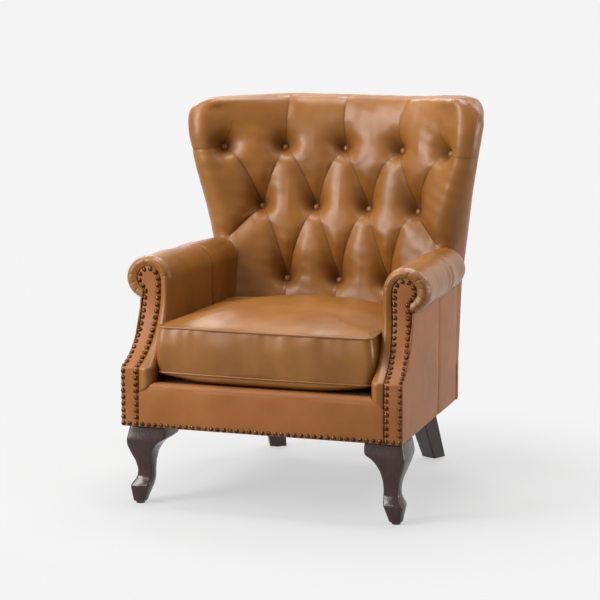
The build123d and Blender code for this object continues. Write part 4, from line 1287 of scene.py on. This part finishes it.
    def build_pad(self) -> Object:
        """Make the padded inside arm and roll as one closed piece with a pleated front edge."""
        s = SIZES
        z_out, z_in = (np.linspace(z, s.roll_z, self.straight) for z in (s.mitre_top, self.mitre_foot))
        left, right = self.facing_edges(z_in)
        outer = self.section(s.half_seat, z_out, s.roll_radius, self.outer_end)
        inner = self.section(left - self.facing_gap, z_in, self.facing_roll, self.inner_end)
        hidden = self.section((left + right) / 2, z_in, self.core, self.inner_end)
        swollen = np.clip((outer[:, 0] - s.roll_x) / s.roll_radius, 0, None) * self.front_full
        outer[:, 0] += swollen
        near = np.abs(np.degrees(self.turns(self.outer_end))[:, None] - np.array(self.folds)).min(axis=1)
        pinch = np.concatenate([np.zeros(self.straight), bell(near, self.fold_width)])
        rows = [at_depth(line, s.arm_front(line[:, 1]) + self.behind) for line in (hidden, inner)]
        marks = [0.0, 0.0]
        for share in np.linspace(0, 1, self.band):
            rows.append(self.front_row(inner, outer, pinch, share))
            marks.append(math.sin(math.pi * share))
        first, count = rows[-1][:, 1], len(outer)
        to_seam, behind_seam = self.row_powers
        for share in 1 - (1 - np.linspace(0, 1, self.front_rows)[1:]) ** to_seam:
            rows.append(self.arm_row(outer, swollen, first + (s.seam_y - first) * share))
            marks.append(bell(share, self.fold_run))
        for share in np.linspace(0, 1, self.tail_rows + 1)[1:]:
            y = s.seam_y + (s.arm_length + self.tail[1] - s.seam_y) * share ** behind_seam
            rows.append(self.arm_row(outer, swollen, np.full(count, y)))
            marks.append(0.0)
        # Painted shade in the pleats of the front edge.
        grid, fold = np.array(rows), np.array(marks)[:, None] * pinch * self.fold_mark
        gap = np.abs(grid[..., 1] - s.seam_y)
        tall, away, wide = self.seam_swell
        waves = self.pad_waves[self.side is Side.RIGHT]
        swell = uneven(grid, waves, self.pad_ripple) + tall * bell(gap - away, wide)
        hold = share_of(np.arange(len(grid)), *self.hold_rows)[:, None]
        sunk = self.groove[0] * bell(gap, self.groove[1])
        grid = grid + grid_normals(grid, self.pad_probe, (-1, 0, 0)) * (swell * hold - sunk)[..., None]
        # Painted shade in the seam groove across the roll.
        fold = np.maximum(fold, self.seam_mark[0] * bell(gap, self.seam_mark[1]))
        closing = self.underside(grid, hidden[0, 0])
        loops = np.concatenate([grid, closing], axis=1)
        crease = np.concatenate([fold, np.zeros(closing.shape[:2])], axis=1)
        return self.shop.loft(self.name("padded_arm"), self.placed(loops), LEATHER, (self.name("arm_pad"),),
                              self.fill, crease)

    def underside(self, grid: Array, front_x: float) -> Array:
        """Hidden points that close each row of the pad inside the arm.

        Args:
            grid: Points of the pad by row.
            front_x: Sideways place of the first row's points.

        Returns:
            Points by row.
        """
        s, (clear, step, front), (high, low, seat) = SIZES, self.under_back, self.under_in
        inside = [(s.half_base - high, self.under_top), (s.half_base - low, s.back_bottom),
                  (s.half_seat + seat, s.back_bottom - self.foot_drop)]
        closing = np.array([[[x, max(row[0, 1], float(s.arm_front(z)) + clear) + step, z] for x, z in inside]
                            for row in grid])
        closing[0, :, :2] = (front_x, s.arm_setback + front)
        return closing

    def build_facing(self) -> Object:
        """Make the facing board on the arm front, bent to the scoop and slightly full."""
        s, (low, high, across) = SIZES, self.facing_points
        heights = np.concatenate([
            np.linspace(s.base_height, s.roll_z, low),
            s.roll_z + self.facing_roll * np.sin(np.linspace(0, math.pi / 2, high))[1:],
        ])
        left, right = self.facing_edges(heights)
        u = np.linspace(-1, 1, across)
        x = ((left + right) / 2)[:, None] + ((right - left) / 2 + self.facing_lap)[:, None] * u
        z = np.repeat(heights[:, None], across, axis=1)
        full, rolled = self.facing_crown
        crown = full * (1 - np.abs(u) ** 3) - rolled * np.exp(-((1 - np.abs(u)) / self.facing_edge))
        crown = crown * np.clip((s.roll_z + self.facing_roll - z) / self.facing_fade, 0, 1)
        front = np.stack([x, s.arm_front(z) - crown, z], axis=-1)
        front[..., 1] += uneven(front, self.facing_wave)
        back = np.stack([x, s.arm_front(z) + self.facing_thick, z], axis=-1)
        loops = np.concatenate([front, back[:, ::-1]], axis=1)
        return self.shop.loft(self.name("facing"), self.placed(loops), PANEL, (self.name("arm_facing"),))

    def build_panels(self) -> None:
        """Make the two outside panels, which meet in an upright seam."""
        s, (columns, steps) = SIZES, self.panel_grid
        heights = np.linspace(s.base_height, self.panel_top, steps)
        (full, power, upright_power), (roll, tight) = self.panel_full, self.panel_roll
        sunk, gap = self.panel_set
        upright = np.sin(np.linspace(0, math.pi, steps)) ** upright_power
        inner_x = np.full(steps, s.half_base - s.panel)
        for part, node, start, end in (
                ("outside_arm", "outside_arm_panel", s.arm_front(heights) + gap, s.seam_y),
                ("outside_rear", "rear_side_panel", np.full(steps, s.seam_y), s.arm_length)):
            rows = []
            for share in 0.5 - 0.5 * np.cos(np.linspace(0, math.pi, columns)):
                y = start + (end - start) * share
                from_seam = 1 - share if end == s.seam_y else share
                x = s.half_base - sunk + full * math.sin(math.pi * share) ** power * upright
                outer = np.column_stack([x - roll * math.exp(-from_seam * tight), y, heights])
                outer[:, 0] += uneven(outer, self.panel_wave)
                rows.append(np.concatenate([outer, np.column_stack([inner_x, y, heights])[::-1]]))
            self.shop.loft(self.name(part), self.placed(np.array(rows)), PANEL, (self.name(node),))

    def nail_line(self) -> Array:
        """Line of the nails in the front view: up the outside, round the roll, down the inside."""
        s, low = SIZES, SIZES.base_height + TRIM.edge + TRIM.pitch
        radius = self.facing_roll - TRIM.edge
        neck_right, neck = self.neck(TRIM.edge)
        turn = np.linspace(math.atan2(neck - s.roll_z, neck_right - s.roll_x), math.pi, self.nail_turns)
        base_left, base_right = s.half_base - s.facing_width + TRIM.edge, s.half_base - TRIM.edge
        return np.concatenate([
            [[base_right, low], [base_right, s.kink], [neck_right, s.scoop_top], [neck_right, neck]],
            np.column_stack([s.roll_x + radius * np.cos(turn), s.roll_z + radius * np.sin(turn)])[1:],
            [[s.roll_x - radius, s.scoop_top], [base_left, s.kink], [base_left, low]],
        ])

    def build_nails(self) -> Object:
        """Set the nail heads round the arm front."""
        s, step = SIZES, self.slope_step
        fine = spread_evenly(self.nail_line(), self.nail_samples)
        path = at_depth(fine, s.arm_front(fine[:, 1]))
        length = np.linalg.norm(np.diff(path, axis=0), axis=1).sum()
        spots = spread_evenly(path, round(length / TRIM.pitch) + 1)
        z = spots[:, 2]
        slope = (s.arm_front(z + step) - s.arm_front(z - step)) / (2 * step)
        slope = np.where((z < s.kink + self.kink_clear) | (z > s.scoop_top), 0, slope)
        ways = np.column_stack([np.zeros(len(spots)), -np.ones(len(spots)), slope])
        ways /= np.linalg.norm(ways, axis=1, keepdims=True)
        heads = self.placed(spots + ways * TRIM.proud)
        return self.shop.domes(self.name("arm_nail_heads"), heads, ways, TRIM.head, NAILS,
                               (self.name("arm_nails"),))

    def build(self) -> None:
        """Make every piece of the arm."""
        self.build_pad()
        self.build_facing()
        self.build_panels()
        self.build_nails()


@dataclass
class SeatBase:
    """Front apron with its row of nails, and the panel round the rear of the base."""

    shop: Workshop
    fill: float = 0.6
    mitre: float = 26.0
    thickness: float = 26.0
    soft: float = 13.0
    apron_points: tuple[int, int, int] = (181, 40, 9)
    apron_full: Pair = (3.0, 0.5)
    apron_ends: int = 14
    apron_wave: tuple = (0.6, 170.0, 60)
    apron_foot: Pair = (4.0, 8.0)
    wrap_grid: tuple[int, int] = (141, 20)

    def build_apron(self) -> Object:
        """Make the padded front apron with a rounded top edge and mitred ends."""
        s, (columns, steps, turns) = SIZES, self.apron_points
        base_half, top_half = s.half_base - s.facing_width + s.shift(0.0), s.half_seat + s.shift(0.0)
        top, soft, (foot_rise, foot_y) = s.mitre_top, self.soft, self.apron_foot
        lift, curl = np.linspace(0, 1, steps), np.linspace(0, math.pi / 2, turns)[1:]
        section = np.concatenate([
            np.column_stack([np.zeros(steps), s.base_height + (top - soft - s.base_height) * lift]),
            np.column_stack([soft * (1 - np.cos(curl)), top - soft + soft * np.sin(curl)]),
            [[self.thickness, top], [self.thickness, s.base_height + foot_rise], [foot_y, s.base_height]],
        ])
        full = np.zeros(len(section))
        full[:steps] = self.apron_full[0] * np.abs(np.sin(np.pi * lift)) ** self.apron_full[1]
        front = np.zeros(len(section), bool)
        front[1:steps - 1] = True
        half = np.interp(section[:, 1], [0, top - self.mitre, top], [base_half, base_half, top_half])
        rows = []
        for u in np.linspace(-1, 1, columns):
            ends = 1 - abs(u) ** self.apron_ends
            ring = np.column_stack([half * u, section[:, 0] - full * ends, section[:, 1]])
            ring[:, 1] -= uneven(ring, self.apron_wave) * front
            rows.append(ring)
        return self.shop.loft("padded_apron", np.array(rows), PANEL, ("front_apron",), self.fill)

    def build_rear(self) -> Object:
        """Make the panel that wraps the rear of the base."""
        s, (columns, steps) = SIZES, self.wrap_grid
        half = s.half_base + s.shift(s.arm_length)
        heights = np.linspace(s.base_height, s.back_bottom, steps)
        plans = (s.rear_curve(half - drawn, s.arm_length, s.base_depth - drawn, columns)
                 for drawn in (0.0, s.panel))
        outer, inner = (np.array([at_height(plan, z) for z in heights]) for plan in plans)
        loops = np.concatenate([outer, inner[::-1]]).transpose(1, 0, 2)
        return self.shop.loft("base_rear_wrap", loops, PANEL, ("base_rear_panel",))

    def build_nails(self) -> Object:
        """Set the row of nail heads along the foot of the front."""
        s = SIZES
        half = s.half_base + s.shift(0.0) - TRIM.edge
        count = round(2 * half / TRIM.pitch) + 1
        line = np.column_stack([np.linspace(-half, half, count), np.full(count, -TRIM.proud)])
        ways = np.tile(np.array([0.0, -1.0, 0.0]), (count, 1))
        spots = at_height(line, s.base_height + TRIM.edge)
        return self.shop.domes("front_nail_heads", spots, ways, TRIM.head, NAILS, ("front_nails",))

    def build(self) -> None:
        """Make every piece of the base."""
        self.build_apron()
        self.build_rear()
        self.build_nails()


@dataclass
class CabrioleLeg:
    """Carved front leg: ears under the rail, round knee, slim ankle and a toe that turns out."""

    shop: Workshop
    side: Side
    setback: float = 20.0
    glide: float = 4.0
    reveal: float = 3.0
    edge: float = 6.0
    bow: float = 1.8
    cap_round: float = 6.0
    cap_share: float = 0.6
    rings: int = 90
    passes: int = 3
    ring_points: tuple[int, int] = (9, 7)
    # Share of the height from the toe, inset of the middle and width.
    stations: tuple[Triple, ...] = (
        (0.00, 29.0, 29.0), (0.06, 30.0, 34.0), (0.20, 33.0, 48.0), (0.225, 34.2, 48.5), (0.27, 38.0, 43.5),
        (0.32, 41.5, 39.0), (0.41, 42.3, 37.5), (0.52, 40.8, 43.5), (0.64, 38.1, 57.3), (0.74, 40.0, 74.0),
        (0.80, 45.7, 87.5), (0.835, 53.5, 101.0), (0.91, 56.0, 99.6), (1.00, 57.5, 96.0),
    )

    def ring(self, half: float) -> Array:
        """Square of this half size with rounded corners and slightly bowed sides, closed."""
        flat, (sides, corners) = half - self.edge, self.ring_points
        across = np.linspace(-1, 1, sides)
        straight = np.column_stack([half + self.bow * (1 - across ** 2), flat * across])
        turn = np.linspace(0, math.pi / 2, corners)[1:-1]
        corner = flat + self.edge * np.column_stack([np.cos(turn), np.sin(turn)])
        quarter, loop = np.concatenate([straight, corner]), []
        for _ in range(4):
            loop.append(quarter)
            quarter = quarter @ np.array([[0, 1], [-1, 0]])
        return np.concatenate(loop)

    def build(self) -> Object:
        """Make the leg as one closed carved piece."""
        s, word = SIZES, self.side.word
        top = s.base_height - self.reveal
        share = np.linspace(0, 1, self.rings)
        known = np.array(self.stations)
        inset, size = (smoothed(np.interp(share, known[:, 0], known[:, k]), self.passes) for k in (1, 2))
        rows = []
        for z, middle, width in zip(self.glide + share * (top - self.glide), inset, size):
            near = max(0.0, 1 - min(top - z, z - self.glide) / self.cap_round)
            drawn = self.cap_round * (1 - math.sqrt(1 - near ** 2))
            ring = self.ring(width / 2 - self.cap_share * drawn)
            x = (s.half_base + s.shift(0.0) - middle + ring[:, 0]) * self.side.value
            rows.append(np.column_stack([x, middle + self.setback + ring[:, 1], np.full(len(ring), z)]))
        return self.shop.loft(f"{word}_cabriole_leg", np.array(rows), WOOD, (f"{word}_front_leg",))


@dataclass
class SeatCushion:
    """Loose box cushion: crowned top and bottom panels, boxing between two welts."""

    shop: Workshop
    fill: float = 0.8
    front: float = 24.0
    rear_gap: float = 9.0
    side_gap: float = 3.4
    lift: float = 0.4
    box: float = 113.0
    bulge: float = 7.0
    # Plan: corners, the bow of the front, the draw of the sides and the fall of the rear corners.
    corner: float = 21.0
    bow: float = 6.0
    draw: float = 3.0
    rear_drop: float = 38.0
    bow_share: float = 0.75
    rear_share: float = 0.16
    rear_bow: float = 0.25
    rear_nip: float = 0.7
    arc_points: tuple[int, int, int] = (40, 16, 60)
    plan_points: int = 360
    # Crowned top and bottom, and the corners that fall away.
    low_crown: float = 26.0
    top_crown: float = 36.0
    top_powers: Pair = (2.6, 0.72)
    corner_fall: float = 0.6
    corner_reach: float = 150.0
    tuck: float = 46.0
    full: float = 0.72
    pinch: Triple = (0.7, 75.0, 0.3)
    seam_pull: Pair = (1.5, 30.0)
    # Rings: from the edge to the middle, on the flat underside, round the lower edge and up the boxing.
    crown_rings: int = 46
    ring_power: float = 1.5
    ring_end: float = 0.985
    flat_rings: int = 34
    flat_share: float = 0.98
    turn_rings: int = 16
    box_rings: int = 30
    # Creases, puckers and unevenness.
    # Strength and width of the painted shade at the two welted seams.
    seam_mark: Pair = (0.75, 2.6)
    top_clear: float = 4.0
    box_clear: Pair = (4.0, 2.0)
    front_zone: float = 60.0
    top_waves: tuple = ((1.3, 190.0, 71), (0.4, 60.0, 72))
    box_wave: tuple = (1.2, 90.0, 73)
    pucker_step: float = 7.0
    pucker_stray: Pair = (2.4, 31.0)
    pucker_fade: Triple = (0.6, 0.4, 53.0)
    upper_pucker: Pair = (1.3, 22.0)
    lower_pucker: Pair = (0.7, 18.0)
    welt: float = 2.7
    welt_out: float = 0.6
    welt_points: int = 10

    def seams(self) -> Pair:
        """Heights of the lower and upper seam."""
        low = SIZES.deck_top + self.lift + self.low_crown
        return low, low + self.box

    def outline(self, inset: float) -> Array:
        """Plan of the cushion, drawn in by inset, evenly spaced and closed.

        Args:
            inset: How far it is drawn in.

        Returns:
            Array of x and y.
        """
        s, radius, (across, round_corner, along) = SIZES, self.corner, self.arc_points
        front = self.front + inset
        rear = s.face_y(s.deck_top + self.lift) - self.rear_gap - inset
        rear_side = rear - self.rear_drop

        def edge(y: float) -> float:
            """Half width at depth y."""
            return s.half_seat + s.shift(y) - self.side_gap - inset

        middle, nip = (front + rear_side) / 2, radius * (1 - math.sqrt(0.5))
        low, high = front + radius, rear_side - radius
        rear_y = rear_side + (rear - rear_side) * self.rear_share
        right_front, right_rear = edge(front) - radius, edge(rear_side) - radius
        ends = ((0, front - self.bow), (right_front, front), (edge(low), low), (edge(high), high),
                (right_rear, rear_y), (0, rear))
        between = ((right_front / 2, front - self.bow * self.bow_share), (edge(front) - nip, front + nip),
                   (edge(middle) - self.draw, middle),
                   (edge(rear_side) - nip, rear_side - nip * self.rear_nip),
                   (right_rear / 2, rear - (rear - rear_y) * self.rear_bow))
        counts = (across, round_corner, along, round_corner, across)
        right = [arc_through(*points) for points in zip(ends, between, ends[1:], counts)]
        half = np.concatenate([p[:-1] for p in right] + [right[-1][-1:]])
        line = np.concatenate([half, (half[::-1] * np.array([-1, 1]))[1:]])
        return spread_evenly(line, self.plan_points + 1)[:-1]

    def rings(self) -> Array:
        """Closed rings of the cover, from the middle of its underside round to the middle of its top."""
        low, high = self.seams()
        plan, base = self.outline(0.0), self.outline(self.tuck)
        middle = np.array([0.0, (plan[:, 1].min() + plan[:, 1].max()) / 2])
        shares = 1 - np.linspace(0, 1, self.crown_rings) ** self.ring_power * self.ring_end
        nooks = np.array([[side * plan[:, 0].max(), y] for side in (-1, 1)
                          for y in (self.front, plan[:, 1].max() - self.rear_drop)])

        def near_corner(ring: Array, reach: float) -> Array:
            """One at the nearest corner of the plan, falling off within the reach."""
            return bell(np.linalg.norm(ring[:, None] - nooks[None], axis=-1).min(axis=1), reach)

        found = [at_height(middle + (base - middle) * share * self.flat_share, SIZES.deck_top + self.lift)
                 for share in shares[::-1][:self.flat_rings]]
        (pull, tight), (pinch, reach, power) = self.seam_pull, self.pinch
        for turn in np.linspace(math.pi / 2, 0, self.turn_rings):
            ring = self.outline(self.tuck * (1 - math.cos(turn) ** self.full) - pull * math.sin(2 * turn))
            lean = 1 - pinch * near_corner(ring, reach) * math.cos(turn) ** power
            found.append(at_height(ring, low - self.low_crown * math.sin(turn) ** self.full * lean))
        for share in np.linspace(0, 1, self.box_rings)[1:-1]:
            drawn = pull * (math.exp(-share * tight) + math.exp(-(1 - share) * tight))
            ring = self.outline(drawn - self.bulge * math.sin(math.pi * share))
            found.append(at_height(ring, low + self.box * share))
        steep, round_top = self.top_powers
        for share in shares:
            ring = middle + (plan - middle) * share
            rise = self.top_crown * (1 - share ** steep) ** round_top
            fall = self.corner_fall * near_corner(ring, self.corner_reach)
            found.append(at_height(ring, high + rise * (1 - fall)))
        return np.array(found)

    def build_pillow(self) -> Object:
        """Make the covers as one closed padded piece, crowned above and below, with puckered boxing."""
        low, high = self.seams()
        loops = self.rings()
        x, y, z = (loops[..., k] for k in range(3))
        # Painted shade along the two welted seams, and none on the flat underside.
        crease = self.seam_mark[0] * bell(np.minimum(np.abs(z - low), np.abs(z - high)), self.seam_mark[1])
        crease[:self.flat_rings] = 0
        z += np.where(z > high + self.top_clear, uneven(loops, *self.top_waves), 0)
        (stray, stray_step), (level, swing, swing_step) = self.pucker_stray, self.pucker_fade
        wave = np.sin(x / self.pucker_step + stray * np.sin(x / stray_step))
        wave = wave * (level + swing * np.sin(x / swing_step))
        (upper, upper_reach), (lower, lower_reach) = self.upper_pucker, self.lower_pucker
        pucker = wave * (upper * np.exp(-(high - z) / upper_reach) + lower * np.exp(-(z - low) / lower_reach))
        boxing = (z > low + self.box_clear[0]) & (z < high - self.box_clear[1]) & (y < self.front_zone)
        y += np.where(boxing, uneven(loops, self.box_wave) + pucker, 0)
        covers = ("cushion_top_panel", "cushion_boxing", "cushion_bottom_panel", "cushion_foam_core")
        return self.shop.loft("seat_cushion_cover", loops, LEATHER, covers, self.fill, crease, Body.CUSHION)

    def build_welts(self) -> None:
        """Make the two welts as closed cords in the seams."""
        plan = self.outline(-self.welt_out)
        along = np.roll(plan, -1, 0) - np.roll(plan, 1, 0)
        out = np.column_stack([along[:, 1], -along[:, 0]])
        out *= self.welt / np.linalg.norm(out, axis=1, keepdims=True)
        turn = np.linspace(0, math.tau, self.welt_points + 1)[:-1]
        for name, z in zip(("cushion_lower_welt", "cushion_upper_welt"), self.seams()):
            loops = np.array([at_height(p + np.cos(turn)[:, None] * o, z + self.welt * np.sin(turn))
                              for p, o in zip(plan, out)])
            self.shop.make(f"{name}_cord", loops, loft_faces(*loops.shape[:2], joined=True), LEATHER, (name,),
                           body=Body.CUSHION)

    def build(self) -> None:
        """Make every piece of the cushion."""
        self.build_pillow()
        self.build_welts()


@dataclass(frozen=True)
class Lamp:
    """One soft lamp: where it hangs, seen from the chair, and its power in watts."""

    name: str
    azimuth: float
    elevation: float
    power: float


def way_to(azimuth: float, elevation: float) -> Vector:
    """Way from the chair to a place at an azimuth, with the front at 0, and an elevation in degrees."""
    a, e = math.radians(azimuth), math.radians(elevation)
    return Vector((math.sin(a) * math.cos(e), -math.cos(a) * math.cos(e), math.sin(e)))


def point_at_chair(obj: Object, place: Vector, way: Vector) -> None:
    """Link a lamp or camera, put it in its place and turn it against the way."""
    bpy.context.scene.collection.objects.link(obj)
    obj.location = place
    obj.rotation_mode = "QUATERNION"
    obj.rotation_quaternion = (-way).to_track_quat("-Z", "Y")


@dataclass
class Studio:
    """Pale floor, soft lights and the camera at the photograph's angle."""

    lamps: tuple[Lamp, ...] = (
        Lamp("front_left_low", -42.0, 14.0, 63.0), Lamp("front_left_high", -45.0, 38.0, 60.0),
        Lamp("front_low", -16.0, 20.0, 15.0), Lamp("left_high", -75.0, 50.0, 26.0),
        Lamp("overhead", 0.0, 88.0, 64.0), Lamp("rear_high", 180.0, 60.0, 52.0),
        Lamp("rear_left", -140.0, 35.0, 28.0), Lamp("rear_right", 140.0, 35.0, 20.0),
        Lamp("right_low", 104.0, 4.0, 44.0), Lamp("right_high", 80.0, 45.0, 16.0),
    )
    lamp_size: float = 1.35
    lamp_distance: float = 3.2
    aim: float = 0.5
    room_light: float = 0.05
    azimuth: float = 18.902
    elevation: float = 9.212
    lens: float = 147.0
    sensor: float = 36.0
    far: float = 100.0
    camera: Triple = (1.9800, -5.4764, 1.4823)
    backdrop: str = "#F4F4F4"
    floor_tone: str = "#B2B2B2"
    floor_glow: float = 0.61
    floor_half: float = 14.0
    floor_fade: Pair = (0.55, 1.15)

    def build_camera(self) -> None:
        """Set up the camera."""
        data = bpy.data.cameras.new("camera")
        data.lens, data.sensor_width, data.clip_end = self.lens, self.sensor, self.far
        obj = bpy.data.objects.new("camera", data)
        place = Vector(self.camera) + Vector((0, BASE_FRONT * MILLIMETRE, 0))
        point_at_chair(obj, place, way_to(self.azimuth, self.elevation))
        bpy.context.scene.camera = obj

    def hang(self, lamp: Lamp) -> None:
        """Hang one large soft lamp that faces the chair."""
        data = bpy.data.lights.new(lamp.name, "AREA")
        data.shape, data.size, data.energy = "DISK", self.lamp_size, lamp.power
        way = way_to(lamp.azimuth, lamp.elevation)
        place = Vector((0, 0, self.aim)) + way * self.lamp_distance
        point_at_chair(bpy.data.objects.new(lamp.name, data), place, way)

    def seen(self, tree: Tree) -> Socket:
        """One where a ray comes from the camera, a mirror or glass, else zero."""
        path = add_node(tree, "ShaderNodeLightPath").outputs
        first = maths(tree, "MAXIMUM", path["Is Camera Ray"], path["Is Glossy Ray"])
        return maths(tree, "MAXIMUM", first, path["Is Transmission Ray"])

    def build_floor(self) -> None:
        """Lay the pale floor, which keeps the shadow and fades into the backdrop further out."""
        mesh = bpy.data.meshes.new("floor")
        r = self.floor_half
        mesh.from_pydata([(-r, -r, 0), (r, -r, 0), (r, r, 0), (-r, r, 0)], [], [(0, 1, 2, 3)])
        obj = bpy.data.objects.new("floor", mesh)
        bpy.context.scene.collection.objects.link(obj)
        material, tree, place = new_material("painted_studio_floor")
        away = add_node(tree, "ShaderNodeVectorMath", {"operation": "LENGTH"}, i0=place)
        fade = add_node(tree, "ShaderNodeMapRange", {"interpolation_type": "SMOOTHSTEP"},
                        Value=away.outputs["Value"], From_Min=self.floor_fade[0], From_Max=self.floor_fade[1])
        lift = maths(tree, "MULTIPLY_ADD", fade.outputs[0], 1 - self.floor_glow, self.floor_glow)
        hide = maths(tree, "MULTIPLY", lift, self.seen(tree))
        paint = add_node(tree, "ShaderNodeBsdfDiffuse", Color=srgb(self.floor_tone))
        glow = add_node(tree, "ShaderNodeEmission", Color=srgb(self.backdrop), Strength=1.0)
        mixed = add_node(tree, "ShaderNodeMixShader", Fac=hide, i1=paint.outputs[0], i2=glow.outputs[0])
        add_node(tree, "ShaderNodeOutputMaterial", Surface=mixed.outputs[0])
        mesh.materials.append(material)

    def build_world(self) -> None:
        """Even soft light all round, with the backdrop's colour where the camera sees it."""
        world = bpy.data.worlds.new("studio")
        bpy.context.scene.world = world
        world.use_nodes = True
        tree = world.node_tree
        tree.nodes.clear()
        colour = srgb(self.backdrop)
        room, seen = (add_node(tree, "ShaderNodeBackground", Color=colour, Strength=strength).outputs[0]
                      for strength in (self.room_light, 1.0))
        mixed = add_node(tree, "ShaderNodeMixShader", Fac=self.seen(tree), i1=room, i2=seen)
        add_node(tree, "ShaderNodeOutputWorld", Surface=mixed.outputs[0])

    def build(self) -> None:
        """Set up the whole studio."""
        bpy.context.scene.view_settings.view_transform = "Standard"
        self.build_camera()
        self.build_floor()
        self.build_world()
        for lamp in self.lamps:
            self.hang(lamp)


def dress_frame(shop: Workshop) -> None:
    """Give every node that stays in view the finish of its slot."""
    slots = {row["node"]: row["material_slot"] for row in frame["record"]["subparts"]}
    for name, obj in frame["nodes"].items():
        obj.data.materials.clear()
        obj.data.materials.append(shop.finishes[slots[name]])
        LOG.info("%s dressed as %s", name, slots[name])


def main() -> None:
    """Build every piece in order."""
    logging.basicConfig(level=logging.INFO, format="%(name)s %(message)s")
    shop = Workshop()
    dress_frame(shop)
    TuftedBack(shop).build()
    for side in Side:
        RolledArm(shop, side).build()
        CabrioleLeg(shop, side).build()
    SeatBase(shop).build()
    SeatCushion(shop).build()
    Studio().build()


if __name__ == "__main__":
    main()
